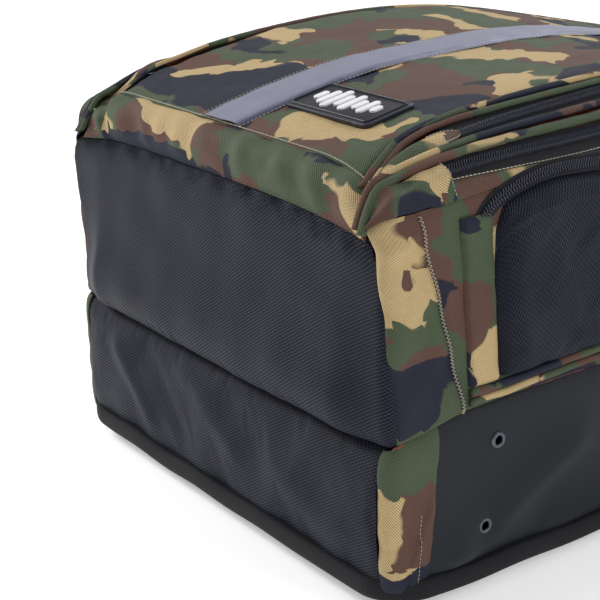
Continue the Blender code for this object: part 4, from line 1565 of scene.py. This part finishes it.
def corner_drop(x: Array, y: Array) -> Array:
    """How far the front face falls towards its bottom corners."""
    fall = np.interp(np.abs(x), (0.095, 0.106, 0.1188, 0.1303, 0.1414, 0.155, 0.165),
                     (0.0, 0.0004, 0.0020, 0.0051, 0.0090, 0.0125, 0.0140))
    return fall * (1 - smooth((y - 0.0100) / 0.040))


@dataclass
class FrontFace:
    """The front face: end band, lid's lower part, flap's panel, reflective stripe and badge."""

    seam_place: float = 0.0112
    split: float = 0.0850
    band_half: float = 0.1500
    stripe_half: float = 0.0195
    stripe_middle: float = 0.0020
    flank: Flank = field(default_factory=Flank)

    @property
    def top_end(self) -> float:
        """Place of the front face's piping at the top end."""
        return FORM.length - self.flank.front_piping_inset(np.array([0.45]))[0]

    def height(self, x: Array, y: Array) -> Array:
        """Height of the front face."""
        dish = 0.0030 * smooth((y - 0.09) / 0.08) * (1 - smooth((np.abs(x) - 0.04) / 0.09))
        return FORM.front(y) + 0.0010 - dish - corner_drop(x, y)

    def half(self, y: Array) -> Array:
        """Half the face's width inside its piping."""
        inset = self.flank.front_piping_inset(y) + 0.0016
        over = np.maximum(0.0, y - (FORM.length - FORM.top_radius))
        r = FORM.top_radius - inset
        return FORM.half_width - FORM.top_radius + np.sqrt(np.clip(r * r - over * over, 1e-8, None))

    def face(self, first: float, last: float, rows: int) -> Tuple[Array, Array]:
        """Points of the face between two places, and its cloth coordinates."""
        share = np.linspace(0, 1, rows)
        ease = np.where(last > 0.4, np.sin(share * math.pi / 2), share)
        y = (first + (last - first) * ease)[:, None]
        _, q = shares(rows, 150, -1.0)
        q = np.sign(q) * (1 - (1 - np.abs(q)) ** 1.25)
        x = self.half(y) * q
        z = self.height(x, y)
        flat = grid_of(x, y)
        z = z + 0.0007 * ripple(flat, 0.06, 71) + 0.0003 * ripple(flat, 0.020, 72)
        z = z - 0.0030 * np.exp(-(1 - np.abs(q)) * self.half(y) / 0.0030)
        if first < 0.02:
            z = z - 0.0006 * np.exp(-(y - first) / 0.0015)
        if last > 0.4:
            z = z - 0.0030 * np.exp(-(last - y) / 0.003)
        return grid_of(x, y, z), grid_of(x + 1.667, y + 1.634)

    def end_band(self) -> None:
        """The printed band over the bottom edge, pulled into folds, and its top stitches."""
        columns = 420
        t, q = shares(40, columns, -1.0)
        x = q * (self.band_half - 0.0070 * t)
        low = Walls().end_top(x) - 0.0005
        high = self.height(x, np.array([[self.seam_place + 0.003]])) - 0.0012
        turn = t * math.pi / 2
        flat = grid_of(x, t * 0.03)
        y = (self.seam_place + 0.003) * (1 - np.cos(turn)) - 0.0034 * np.sin(turn * 2) ** 0.8 - 0.0002
        z = low + (high - low) * np.sin(turn)
        slant = x + 0.016 * t
        wide = 0.35 + 0.65 * smooth((np.abs(x) - 0.02) / 0.10)
        folds = 0.0017 * np.sin(slant * math.tau / 0.034 + 2.2 * ripple(flat, 0.06, 81)) * crown(t, 2) * wide
        folds = folds + 0.0012 * ripple(flat * (1, 0.4), 0.022, 82) * crown(t, 2)
        pucker = 0.0004 * np.sin(x * math.tau / 0.0024 + ripple(flat, 0.01, 83)) * np.exp(-t / 0.10)
        out = folds + pucker
        y = y - out * np.cos(turn) + 0 * x
        z = z + out * np.sin(turn)
        points = grid_of(x, y, z)
        uv = grid_of(x + 0.547, travelled(points[:, columns // 2])[:, None] + 1.273)
        piece = skin("end_band_cover", points, Cloth.CAMO, LIGHT_THICK, uv=uv, lining=Cloth.LINING)
        register(piece, BAG, ["end_band"])
        xs = np.linspace(-0.141, 0.1425, 200)
        y = np.full_like(xs, self.seam_place + 0.0008)
        z = self.height(xs, y) + 0.0004
        up = np.tile([0.0, -0.2, 0.98], (len(xs), 1))
        seam = Seam(pitch=0.0024, length=0.0020, thread=0.00038)
        register(seam.sew("top_stitches", Line(np.stack([xs, y, z], -1), up)), BAG)

    def skins(self) -> None:
        """The face itself, in two parts that meet where the flap folds."""
        points, uv = self.face(self.seam_place, self.split, 60)
        piece = skin("lid_front_cover", points, Cloth.CAMO, PANEL_THICK, uv=uv, lining=Cloth.LINING)
        register(piece, LID_FOLD, ["lid_front"])
        points, uv = self.face(self.split, self.top_end - 0.0016, 170)
        piece = skin("front_panel_cover", points, Cloth.CAMO, PANEL_THICK, uv=uv, lining=Cloth.LINING)
        register(piece, FLAP_FOLD, ["front_panel"])

    def stripe(self) -> None:
        """The padded reflective stripe up the middle, and small stitches beside it."""
        last = self.top_end - 0.003
        parts = (("stripe_lower", self.seam_place + 0.0008, self.split, LID_FOLD, [], 36),
                 ("stripe_upper", self.split, last, FLAP_FOLD, ["reflective_stripe"], 150))
        for name, first, end, rides, nodes, rows in parts:
            y = np.linspace(first, end, rows)[:, None]
            _, q = shares(rows, 25, -1.0)
            x = self.stripe_middle + self.stripe_half * q
            puff = 0.0021 * np.sqrt(np.clip(1 - q**4, 0, 1)) + 0.0003 * ripple(grid_of(x, y), 0.03, 91)
            points = grid_of(x, y, self.height(x, y) + 0.0004 + puff)
            uv = grid_of(y, x - self.stripe_middle)
            register(skin(name, points, Cloth.SATIN, 0.0006, uv=uv), rides, nodes)
            for side, word in SIDES:
                ys = y[:, 0]
                xs = np.full_like(ys, self.stripe_middle + side * (self.stripe_half + 0.0010))
                zs = self.height(xs, ys) + 0.0008
                up = np.tile([0.0, 0.0, 1.0], (len(ys), 1))
                seam = Seam(pitch=0.0028, length=0.0019, thread=0.00024)
                piece = seam.sew(f"{name}_{word}_stitches", Line(np.stack([xs, ys, zs], -1), up))
                register(piece, rides)

    def badge(self) -> None:
        """The moulded badge: a chamfered plate with a raised rim and plain raised level bars."""
        low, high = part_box("badge")
        middle = Vector(((low.x + high.x) / 2, (low.y + high.y) / 2, 0.0))
        y = middle.y - FORM.bottom
        middle.z = float(self.height(np.array([middle.x]), np.array([y]))[0]) - 0.0012
        slope = math.atan(-2 * FORM.fall * (y - FORM.peak_place))
        place = Matrix.Translation(middle) @ Matrix.Rotation(slope, 4, "X")
        half_x, half_y = 0.0367, 0.0168
        plate = rounded_plate("badge_plate", (half_x, half_y), 0.0035, (0.0, 0.0006, 0.0030, 0.0036),
                              (0.0, 0.0004, 0.0004, -0.0006))
        rim = rounded_frame("badge_rim", (half_x - 0.0022, half_y - 0.0022), 0.0028, 0.0011, 0.0036, 0.0045)
        bars = []
        heights = (0.0050, 0.0085, 0.0115, 0.0070, 0.0100, 0.0055, 0.0080, 0.0040)
        for k, tall in enumerate(heights):
            bar = rounded_plate(f"bar_{k}", (0.0024, tall), 0.0022, (0.0036, 0.0046, 0.0049),
                                (0.0, 0.0, -0.0005))
            bar.data.transform(Matrix.Translation((0.0070 * (k - 3.5), 0.0, 0.0)))
            bars.append(bar)
        marks = join("badge_bars", bars)
        for obj, cloth, nodes in ((plate, Cloth.RUBBER, ["badge"]), (rim, Cloth.RUBBER, []),
                                  (marks, Cloth.PRINT, [])):
            obj.data.transform(place)
            clothe(obj, cloth)
            register(obj, LID, nodes)

    def build(self) -> None:
        """Makes the front face."""
        self.end_band()
        self.skins()
        self.stripe()
        self.badge()


def rounded_loop(half: Pair, radius: float, steps: int = 8) -> List[Pair]:
    """Points round a rectangle with round corners."""
    loop = []
    for quarter, (sx, sy) in enumerate(((1, 1), (-1, 1), (-1, -1), (1, -1))):
        for k in range(steps + 1):
            a = math.pi / 2 * (quarter + k / steps)
            x = sx * (half[0] - radius) + radius * math.cos(a)
            loop.append((x, sy * (half[1] - radius) + radius * math.sin(a)))
    return loop


def rounded_plate(name: str, half: Pair, radius: float, heights: Sequence[float],
                  grow: Sequence[float]) -> bpy.types.Object:
    """A plate with round corners, its outline at each height grown or shrunk to chamfer its edges."""
    made = bmesh.new()
    rings = []
    for z, more in zip(heights, grow):
        loop = rounded_loop((half[0] + more, half[1] + more), max(0.0003, radius + more))
        rings.append([made.verts.new((x, y, z)) for x, y in loop])
    for low, high in zip(rings, rings[1:]):
        for k in range(len(low)):
            n = (k + 1) % len(low)
            made.faces.new((low[k], low[n], high[n], high[k]))
    made.faces.new(rings[-1])
    made.faces.new(rings[0][::-1])
    return object_from(name, made)


def rounded_frame(name: str, half: Pair, radius: float, width: float, low: float,
                  high: float) -> bpy.types.Object:
    """A thin raised rim with round corners."""
    profile = ((-width / 2, low), (-width / 2, high - 0.0002), (-width / 4, high), (width / 4, high),
               (width / 2, high - 0.0002), (width / 2, low))
    made = bmesh.new()
    rings = []
    for more, z in profile:
        loop = rounded_loop((half[0] + more, half[1] + more), radius + more)
        rings.append([made.verts.new((x, y, z)) for x, y in loop])
    rings.append(rings[0])
    for a, b in zip(rings, rings[1:]):
        for k in range(len(a)):
            n = (k + 1) % len(a)
            made.faces.new((a[k], a[n], b[n], b[k]))
    bmesh.ops.recalc_face_normals(made, faces=made.faces)
    return object_from(name, made)


def object_from(name: str, made: bmesh.types.BMesh) -> bpy.types.Object:
    """An object from a bmesh, smooth with sharp corners kept."""
    mesh = bpy.data.meshes.new(name)
    made.to_mesh(mesh)
    made.free()
    mesh.shade_smooth()
    mesh.set_sharp_from_angle(angle=math.radians(35))
    return new_object(name, mesh)


def join(name: str, objects: Sequence[bpy.types.Object]) -> bpy.types.Object:
    """One object from several."""
    made = bmesh.new()
    for obj in objects:
        made.from_mesh(obj.data)
        bpy.data.objects.remove(obj)
    return object_from(name, made)


# ---- side pockets -----------------------------------------------------------------------------
@dataclass
class SidePocket:
    """A side pocket: bulging nylon face, curved zip, bottom piping and the strip over its lower end."""

    side: int
    word: str
    face_low: float = 0.1215
    strip_width: float = 0.0205
    end: float = 0.3700
    corner: Tuple[Pair, ...] = ((0.0585, 0.2080), (0.0605, 0.2125), (0.0650, 0.2172), (0.0725, 0.2208),
                                (0.0820, 0.2236), (0.0930, 0.2262), (0.1030, 0.2277))

    def zip_height(self, y: Array) -> Array:
        """Height of the pocket's zip on its straight run."""
        return 0.2282 - 0.070 * (y - 0.100)

    def zip_line(self) -> Line:
        """The zip's middle line: up round the lower corner, then straight."""
        run = np.linspace(0.112, 0.402, 90)
        ys = np.concatenate([[p[0] for p in self.corner], run])
        zs = np.concatenate([[p[1] for p in self.corner], self.zip_height(run)])
        dense = np.linspace(0, len(ys) - 1, 500)
        ys = np.interp(dense, np.arange(len(ys)), ys)
        zs = np.interp(dense, np.arange(len(zs)), zs)
        points = grid_of(FORM.half_width + 0.0018, relaxed(ys, 60), relaxed(zs, 60))
        up = np.tile([0.97, 0.0, 0.24], (len(ys), 1))
        return Line(points, up).mirrored(self.side)

    def face(self) -> Array:
        """Points of the bulging face."""
        t, q = shares(40, 130)
        start = 0.0685 + 0.0030 * (1 - t) ** 2
        y = start * (1 - q) + self.end * q
        line = self.zip_line()
        top = np.interp(y, line.points[:, 1], line.points[:, 2]) - 0.0052
        top = np.minimum(top, 0.2025 + 0.9 * (y - 0.0685) ** 0.82)
        z = self.face_low * (1 - t) + top * t
        flat = np.stack([y, z], -1)
        ends = np.minimum((y - start) / 0.016, (self.end - y) / 0.03)
        rim = np.minimum(ends, np.minimum((z - self.face_low) / 0.014, (top - z) / 0.012))
        below = top - z
        ridge = 0.0012 * np.exp(-(((below - 0.0105) / 0.0016) ** 2))
        ridge = ridge - 0.0010 * np.exp(-(((below - 0.0135) / 0.0014) ** 2))
        out = 0.0098 * quarter_round(rim) + ridge
        out = out + 0.0008 * ripple(flat, 0.045, 101) + 0.0003 * ripple(flat, 0.012, 102)
        return grid_of((FORM.half_width + 0.0012 + out) * self.side, y, z)

    def build(self) -> None:
        """Makes the pocket."""
        word, side = self.word, self.side
        core = np.array([0.0, 0.22, 0.17])
        points = self.face()
        points = Filling(pressure=1.2, slack=0.01, cap=0.0022, frames=8).swell(points, core)
        x = side * FORM.half_width
        rides = Rides("bag", f"{word}_pocket", (0.2, self.face_low), (0.2, 0.1360), x, x)
        piece = skin(f"{word}_pocket_cover", points, Cloth.NYLON, LIGHT_THICK, lining=Cloth.LINING, core=core,
                     swap=True)
        register(piece, rides, [f"{word}_pocket_face"])
        line = self.zip_line()
        coil = Coil(reach=0.0013, split=0.0012, pitch=0.0018)
        first = 1 if side > 0 else -1
        register(coil.wind(f"{word}_pocket_coil_upper", line, -first), BAG)
        register(coil.wind(f"{word}_pocket_coil_lower", line, first), Rides(f"{word}_pocket"))
        across = unit(np.cross(line.forward, line.up)) * first * 0.0046
        middle = line.lifted(-0.0006)
        upper = Line(middle.points - across, line.up)
        lower = Line(line.lifted(-0.0002).points + across, line.up)
        tape = strip_between(middle, upper, 6)
        register(skin(f"{word}_pocket_tape_upper", tape, Cloth.TAPE, TAPE_THICK, core=core), BAG)
        tape = strip_between(middle, lower, 6)
        register(skin(f"{word}_pocket_tape_lower", tape, Cloth.TAPE, TAPE_THICK, core=core),
                 Rides(f"{word}_pocket"))
        self.pipings()
        self.strip()

    def pipings(self) -> None:
        """Two printed rolls along the pocket's foot."""
        for n, (z, radius, shift) in enumerate(((0.1178, 0.0024, 0.23), (0.1125, 0.0020, 0.57))):
            y = np.linspace(0.052, 0.385, 120)
            heights = z + 0.0022 * smooth((y - 0.06) / 0.09) + 0.0004 * ripple(y[:, None], 0.03, 7 + n)
            x = np.full_like(y, FORM.half_width + 0.0018 - 0.0006 * n)
            up = np.tile([1.0, 0.0, 0.1], (len(y), 1))
            line = Line(np.stack([x, y, heights], -1), up).mirrored(self.side)
            piece = roll(f"{self.word}_pocket_piping_{n + 1}", line, radius, Cloth.CAMO, 12,
                         (shift, 0.2 * n), seed=9 + n, wobble=0.06)
            register(piece, BAG)

    def strip(self) -> None:
        """The printed strip over the pocket's lower end, flatter towards its ends."""
        t, q = shares(70, 16)
        z = 0.1205 + (0.2125 - 0.1205) * t + 0 * q
        y = 0.0462 + 0.0055 * (1 - t) + self.strip_width * q
        flat = np.stack([y, z], -1)
        out = 0.0034 * np.sqrt(np.clip(crown(q, 4), 0, 1)) + 0.0004 * ripple(flat, 0.02, 111)
        out = out * np.clip(np.minimum(t, 1 - t) / 0.02, 0.35, 1)
        x = (FORM.half_width + 0.0004 + out) * self.side
        shift = (0.107, 0.235) if self.side > 0 else (0.75, 0.45)
        piece = skin(f"{self.word}_strip_cover", grid_of(x, y, z), Cloth.CAMO, 0.0014, shift,
                     core=np.array([0.0, 0.05, 0.17]))
        register(piece, BAG, [f"{self.word}_pocket_strip"])


# ---- binding, back, straps --------------------------------------------------------------------
@dataclass
class BackSide:
    """Everything the bag lies on: binding, back panel, pads and straps."""

    binding_out: float = 0.0019
    binding_low: float = 0.0085
    binding_high: float = 0.0202
    binding_girth: float = 0.0284
    corner: float = 0.024
    web_half: float = 0.0125
    strap_line: Tuple[Tuple[float, float, float], ...] = (
        (0.057, 0.4515, 0.0300), (0.077, 0.4050, 0.0290), (0.096, 0.3500, 0.0280), (0.109, 0.2900, 0.0275),
        (0.116, 0.2300, 0.0270), (0.118, 0.1750, 0.0250), (0.118, 0.1340, 0.0190))

    def binding(self) -> None:
        """The herringbone binding all round the back's edge, a little wavy."""
        form = BagForm(FORM.half_width, FORM.length, FORM.bottom, low_radius=self.corner)
        total = form.marks[4]
        s = np.linspace(-total, total, 640, endpoint=False)
        count = 26
        angle = np.arange(count) * math.tau / count
        half_z = (self.binding_high - self.binding_low) / 2
        across = squarish(np.cos(angle), 0.6) * 0.0030
        rise = squarish(np.sin(angle), 0.75) * half_z
        wave = ripple(np.stack(form.outline(s), -1), 0.085, 121)
        high = (self.binding_low + self.binding_high) / 2 + 0.0011 * wave
        high = high + 0.0015 * np.exp(-((np.abs(s) - 0.15) / 0.03) ** 2)
        x, y = form.outline(s[:, None], self.binding_out + across[None, :] + 0.0004 * wave[:, None])
        points = grid_of(x, y, high[:, None] + rise[None, :])
        length = np.arange(len(s) + 1) * 2 * total / len(s)
        piece = tube("binding_cover", points, length, self.binding_girth, Cloth.BINDING, look=0)
        register(piece, BAG, ["edge_binding"])

    def cushion(self, name: str, node: str, cloth: Cloth, channels: int = 0) -> None:
        """A flat pad under the back: crowned, sides pulled in, with sewn channels across it."""
        low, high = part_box(node)
        q = np.linspace(-1, 1, 44)[None, :]
        t = q.T
        pull = 1 - 0.03 * (1 - t**2) * np.abs(q) ** 3
        x = (low.x + high.x) / 2 + (high.x - low.x) / 2 * q * pull
        pull = 1 - 0.03 * (1 - q**2) * np.abs(t) ** 3
        y = (low.y + high.y) / 2 - FORM.bottom + (high.y - low.y) / 2 * t * pull
        thick = (high.z - low.z) * np.clip((1 - np.abs(q) ** 6) * (1 - np.abs(t) ** 6), 0, 1) ** 0.4
        if channels:
            thick = thick * (1 - 0.22 * np.exp(-((np.sin(t * math.pi * channels / 2) / 0.16) ** 2)))
        points = grid_of(x, y, high.z - thick)
        core = np.array([0.0, float(y.mean()), 0.2])
        points = Filling(pressure=1.0, slack=0.01, cap=0.0006, frames=6).swell(points, core)
        points[..., 2] = np.maximum(points[..., 2], low.z)
        piece = skin(name, points, cloth, 0.0012, core=core)
        register(piece, BAG, [node])

    def back_panel(self) -> None:
        """The padded back, quilted in wide channels."""
        low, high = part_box("back_panel")
        t, q = shares(90, 60, -1.0)
        y = (high.y - low.y) * t
        corner = np.maximum(0.0, y - (high.y - low.y - FORM.top_radius))
        half = high.x - FORM.top_radius + np.sqrt(np.clip(FORM.top_radius**2 - corner**2, 1e-6, None))
        foot = np.maximum(0.0, self.corner - y)
        half = half - self.corner + np.sqrt(np.clip(self.corner**2 - foot**2, 1e-6, None))
        seams = np.exp(-((np.sin(y * math.pi / 0.06) / 0.10) ** 2))
        z = low.z + 0.0005 + 0.0014 * seams + 0.004 * np.abs(q) ** 12
        points = grid_of(half * q, y + low.y - FORM.bottom, z)
        piece = skin("back_panel_cover", points, Cloth.MESH, 0.0060, core=np.array([0.0, 0.24, 0.2]))
        register(piece, BAG, ["back_panel"])

    def strap(self, side: int, word: str) -> None:
        """A shoulder strap: padded body, webbing down its middle, lock, clip and lower webbing."""
        table = np.array(self.strap_line)
        last = len(table) - 1
        share = np.linspace(0, last, 110)
        xs, ys, ws = (np.interp(share, np.arange(len(table)), table[:, k]) for k in range(3))
        xs = relaxed(xs, 40)
        count = 36
        angle = np.arange(count) * math.tau / count
        low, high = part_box(f"{word}_strap_pad")
        middle, half_z = (low.z + high.z) / 2, (high.z - low.z) / 2 - 0.0008
        end = np.clip(np.minimum(share, last - share) / 0.10, 0.02, 1) ** 0.5
        across = squarish(np.cos(angle), 0.7)
        rise = squarish(np.sin(angle), 0.8)
        x = xs[:, None] + across[None] * (ws * (0.9 + 0.1 * end))[:, None]
        z = middle + rise[None] * half_z * end[:, None] * (1 - 0.12 * np.abs(across[None]) ** 2)
        points = grid_of(x * side, ys[:, None], z)
        strap = Rides(f"{word}_strap")
        length = travelled(np.stack([xs, ys], -1))
        piece = tube(f"{word}_strap_cover", points, length, 0.13, Cloth.NYLON, look=40)
        register(piece, strap, [f"{word}_strap_pad"])
        centre = np.stack([xs * side, ys, np.full_like(xs, low.z + 0.0002)], -1)[8:]
        web = Line(centre, np.tile([0.0, 0.0, -1.0], (len(centre), 1)))
        band = unit(np.cross(web.forward, web.up)) * self.web_half
        points = np.stack([centre - band, centre, centre + band], 1)
        core = np.array([0, 0.25, 0.2])
        piece = skin(f"{word}_strap_webbing", points, Cloth.BINDING, 0.0010, core=core)
        register(piece, strap)
        dress(f"{word}_ladder_lock", Cloth.PLASTIC)
        dress(f"{word}_chest_clip", Cloth.PLASTIC)
        path = np.array([(0.1180, 0.1065), (0.1235, 0.0600), (0.1375, 0.0160)])
        share = np.linspace(0, 2, 40)
        px, py = (np.interp(share, [0, 1, 2], path[:, k]) for k in range(2))
        q = np.linspace(-1, 1, 9)[None, :]
        z = 0.0052 + 0.0004 * np.sin(py * 90)
        points = grid_of((px[:, None] + self.web_half * q) * side, py[:, None], z[:, None])
        piece = skin(f"{word}_lower_webbing_cover", points, Cloth.BINDING, PANEL_THICK,
                     core=np.array([0, 0.06, 0.2]))
        register(piece, BAG, [f"{word}_lower_webbing"])

    def build(self) -> None:
        """Makes the back and what is on it."""
        self.binding()
        self.back_panel()
        self.cushion("upper_back_pad_cover", "upper_back_pad", Cloth.MESH, 3)
        self.cushion("lumbar_pad_cover", "lumbar_pad", Cloth.MESH, 4)
        self.cushion("strap_yoke_cover", "strap_yoke", Cloth.NYLON)
        dress("back_stiffener", Cloth.PLASTIC)
        for side, word in SIDES:
            self.strap(side, word)


# ---- top end and inside -----------------------------------------------------------------------
@dataclass
class TopEnd:
    """Carry handle, laptop flap with its zip, every slider and pull, and the linings inside."""

    handle_line: Tuple[Pair, ...] = ((-0.0600, 0.1620), (-0.0596, 0.1520), (-0.0560, 0.1400),
                                     (-0.0450, 0.1310),
                                     (-0.0250, 0.1280), (0.0, 0.1270))
    zip_words: Tuple[str, ...] = ("left_main_zip", "right_main_zip", "front_zip", "laptop", "left_pocket",
                                  "right_pocket")

    def handle(self) -> None:
        """The carry handle: two webbing legs sewn down, into a padded roll."""
        low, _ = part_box("carry_handle")
        table = np.array(self.handle_line + tuple((-x, z) for x, z in reversed(self.handle_line[:-1])))
        last = len(table) - 1
        share = np.linspace(0, last, 130)
        xs, zs = (relaxed(np.interp(share, np.arange(len(table)), table[:, k]), 60) for k in range(2))
        fat = smooth((0.046 - np.abs(xs)) / 0.012)
        path = np.stack([xs, np.zeros_like(xs), zs], -1)
        forward = unit(np.gradient(path, axis=0))
        down = unit(np.cross(forward, np.array([0.0, 1.0, 0.0])))
        count = 24
        angle = np.arange(count) * math.tau / count
        across = squarish(np.cos(angle), 0.7)
        rise = squarish(np.sin(angle), 0.7)
        thick = 0.0011 + 0.0034 * fat
        centre_y = low.y - FORM.bottom + 0.0002 + thick
        half = 0.0098 + 0.0010 * fat
        end = np.clip(np.minimum(share, last - share) / 0.06, 0.02, 1)
        wide = across[None] * (half * end)[:, None]
        points = path[:, None] + down[:, None] * wide[..., None]
        points[..., 1] = centre_y[:, None] + rise[None] * thick[:, None] * end[:, None]
        length = travelled(np.stack([xs, zs], -1))
        piece = tube("carry_handle_cover", points, length, 0.05, Cloth.NYLON, look=60)
        register(piece, Rides("carry_handle"), ["carry_handle"])

    def laptop_flap(self) -> None:
        """The smooth flap over the laptop compartment's mouth."""
        low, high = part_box("laptop_flap")
        t, q = shares(40, 80, -1.0)
        x = high.x * q
        z = low.z + (high.z - low.z) * t
        rim = np.minimum(np.minimum(t, 1 - t) * (high.z - low.z), (1 - np.abs(q)) * high.x)
        out = 0.0014 * quarter_round(rim / 0.008) + 0.0004 * ripple(grid_of(x, z), 0.04, 131)
        points = grid_of(x, high.y - FORM.bottom - 0.0006 + out, z)
        piece = skin("laptop_flap_cover", points, Cloth.SMOOTH, PANEL_THICK, lining=Cloth.LINING)
        register(piece, Rides("laptop_flap"), ["laptop_flap"])

    def laptop_zip(self) -> None:
        """The zip over the laptop flap's top edge: a tape and a row on the flap, and on the bag."""
        xs = np.linspace(0.130, -0.130, 120)
        y = np.full_like(xs, FORM.length + 0.0006)
        up = np.tile([0.0, 1.0, 0.0], (len(xs), 1))

        def at(height: float, out: float) -> Line:
            """A level line across the top end."""
            return Line(np.stack([xs, y + out, np.full_like(xs, height)], -1), up)

        core = np.array([0.0, 0.2, 0.10])
        for name, low, high, rides in (("laptop_tape_lower", 0.0965, 0.1016, "laptop_flap"),
                                       ("laptop_tape_upper", 0.1022, 0.1085, "bag")):
            tape = strip_between(at(low, -0.0016), at(high, -0.0004), 8)
            register(skin(name, tape, Cloth.TAPE, TAPE_THICK, core=core), Rides(rides))
        middle = at(0.1019, 0.0)
        register(Coil().wind("laptop_coil_lower", middle, 1), Rides("laptop_flap"))
        register(Coil().wind("laptop_coil_upper", middle, -1), BAG)

    def eased(self, node: str, cloth: Cloth, ease: float) -> None:
        """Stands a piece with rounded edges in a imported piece's place."""
        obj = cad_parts[node]
        made = bmesh.new()
        made.from_mesh(obj.data)
        made.transform(obj.matrix_world)
        bmesh.ops.dissolve_limit(made, angle_limit=0.02, verts=made.verts, edges=made.edges)
        sharp = [e for e in made.edges if len(e.link_faces) == 2 and e.calc_face_angle() > 0.5]
        bmesh.ops.bevel(made, geom=sharp, offset=ease, segments=3, affect="EDGES", profile=0.5,
                        clamp_overlap=True)
        piece = object_from(f"{node}_body", made)
        clothe(piece, cloth)
        register(piece, Rides(node), [node])

    def sliders(self) -> None:
        """Sliders and pulls with rounded edges."""
        for word in self.zip_words:
            self.eased(f"{word}_slider", Cloth.SLIDER, 0.0006)
            self.eased(f"{word}_pull", Cloth.PLASTIC, 0.0006)

    def inside(self) -> None:
        """Quilted orange linings of the two dividers, their rims turned up against the walls."""
        dividers = (("laptop_divider", BAG, 0.0026, 0.0080, 0.006),
                    ("lid_divider", LID, 0.0050, 0.0055, 0.024))
        for node, rides, grow, curl, tighter in dividers:
            low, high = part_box(node)
            last = high.y + grow
            t = (last - (last - low.y + 0.001) * (1 - np.sin(np.linspace(0, math.pi / 2, 90))))[:, None]
            q = np.linspace(-1, 1, 70)[None, :]
            r = FORM.top_radius - tighter + grow
            corner = np.maximum(0.0, t - (last - r))
            half = high.x + grow - r + np.sqrt(np.clip(r * r - corner**2, 1e-6, None))
            x = half * q
            top = high.z
            if node == "lid_divider":
                co = np.array([v.co[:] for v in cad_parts[node].data.vertices])
                order = np.argsort(co[:, 1])
                top = np.interp(t, co[order, 1], co[order, 2])
            diamonds = np.sin((x + t) * math.pi / 0.03) * np.sin((x - t) * math.pi / 0.03)
            rim = np.minimum((1 - np.abs(q)) * half, last - t)
            z = top + 0.0010 * np.abs(diamonds) ** 0.5 - 0.0012 + curl * np.exp(-rim / 0.003)
            points = grid_of(x, t - FORM.bottom, z)
            core = np.array([0.0, 0.24, -1.0])
            piece = skin(f"{node}_lining", points, Cloth.LINING, LIGHT_THICK, core=core)
            register(piece, rides, [node])

    def build(self) -> None:
        """Makes the top end and the inside."""
        self.handle()
        self.laptop_flap()
        self.laptop_zip()
        self.sliders()
        self.inside()


# ---- studio -----------------------------------------------------------------------------------
@dataclass(frozen=True)
class Studio:
    """Pale floor, soft lights and the camera."""

    camera_place: Tuple[float, float, float] = (0.73100, -0.68463, 0.43711)
    camera_right: Tuple[float, float, float] = (0.57549885, 0.81700846, -0.03603113)
    camera_up: Tuple[float, float, float] = (-0.25513407, 0.22122652, 0.94125737)
    camera_back: Tuple[float, float, float] = (0.77698628, -0.53249977, 0.33576231)
    lens: float = 94.108
    ambient: float = 0.42

    def camera(self) -> None:
        """The camera, low in front of the bottom corner."""
        data = bpy.data.cameras.new("camera")
        data.lens = self.lens
        data.sensor_width = 36.0
        data.clip_start = 0.01
        obj = new_object("camera", data)
        turn = Matrix((self.camera_right, self.camera_up, self.camera_back)).transposed()
        obj.matrix_world = Matrix.Translation(self.camera_place) @ turn.to_4x4()
        bpy.context.scene.camera = obj

    def light(self, name: str, place: Sequence[float], size: float, power: float,
              tint: Sequence[float] = (1, 1, 1)) -> None:
        """A square soft light that looks at the bag."""
        data = bpy.data.lights.new(name, "AREA")
        data.size = size
        data.energy = power
        data.color = tint
        obj = new_object(name, data)
        aim = Vector((0.0, -0.05, 0.12)) - Vector(place)
        obj.matrix_world = Matrix.Translation(place) @ aim.to_track_quat("-Z", "Y").to_matrix().to_4x4()

    def floor(self) -> None:
        """A wide pale floor."""
        made = bmesh.new()
        bmesh.ops.create_grid(made, x_segments=1, y_segments=1, size=6.0)
        floor = object_from("floor", made)
        t = Tree("floor")
        vector = t.node("ShaderNodeTexCoord").outputs["Object"]
        speck = t.noise(vector, 0.8, 3.0).outputs[0]
        colour = t.scale(shade(244, 244, 245), t.line(speck, 0.02, 0.99))
        finish = t.finish(colour, 0.9, Emission_Color=(1.0, 1.0, 1.0, 1.0), Emission_Strength=0.38)
        floor.data.materials.append(finish)

    def build(self) -> None:
        """Sets up the studio."""
        scene = bpy.context.scene
        scene.view_settings.view_transform = "Standard"
        world = bpy.data.worlds.new("studio")
        world.use_nodes = True
        back = world.node_tree.nodes["Background"]
        back.inputs[0].default_value = (1.0, 1.0, 1.0, 1.0)
        seen = world.node_tree.nodes.new("ShaderNodeLightPath")
        level = world.node_tree.nodes.new("ShaderNodeMapRange")
        level.inputs[3].default_value = self.ambient
        world.node_tree.links.new(seen.outputs["Is Camera Ray"], level.inputs[0])
        world.node_tree.links.new(level.outputs[0], back.inputs[1])
        scene.world = world
        self.camera()
        self.floor()
        self.light("key", (-1.5, -1.1, 1.4), 0.7, 34.0, (1.0, 0.99, 0.98))
        self.light("rim", (-0.5, 1.3, 1.5), 1.0, 12.0, (0.95, 0.97, 1.0))
        self.light("fill", (1.7, 0.5, 1.3), 0.9, 15.0, (0.98, 0.99, 1.0))


# ---- the whole bag ----------------------------------------------------------------------------
def main() -> None:
    """Builds the studio and every sub-assembly in order."""
    logging.basicConfig(level=logging.INFO, format="%(message)s")
    Studio().build()
    Walls().build()
    Flank().build()
    FrontFace().build()
    for side, word in SIDES:
        SidePocket(side, word).build()
    BackSide().build()
    TopEnd().build()


if __name__ == "__main__":
    main()
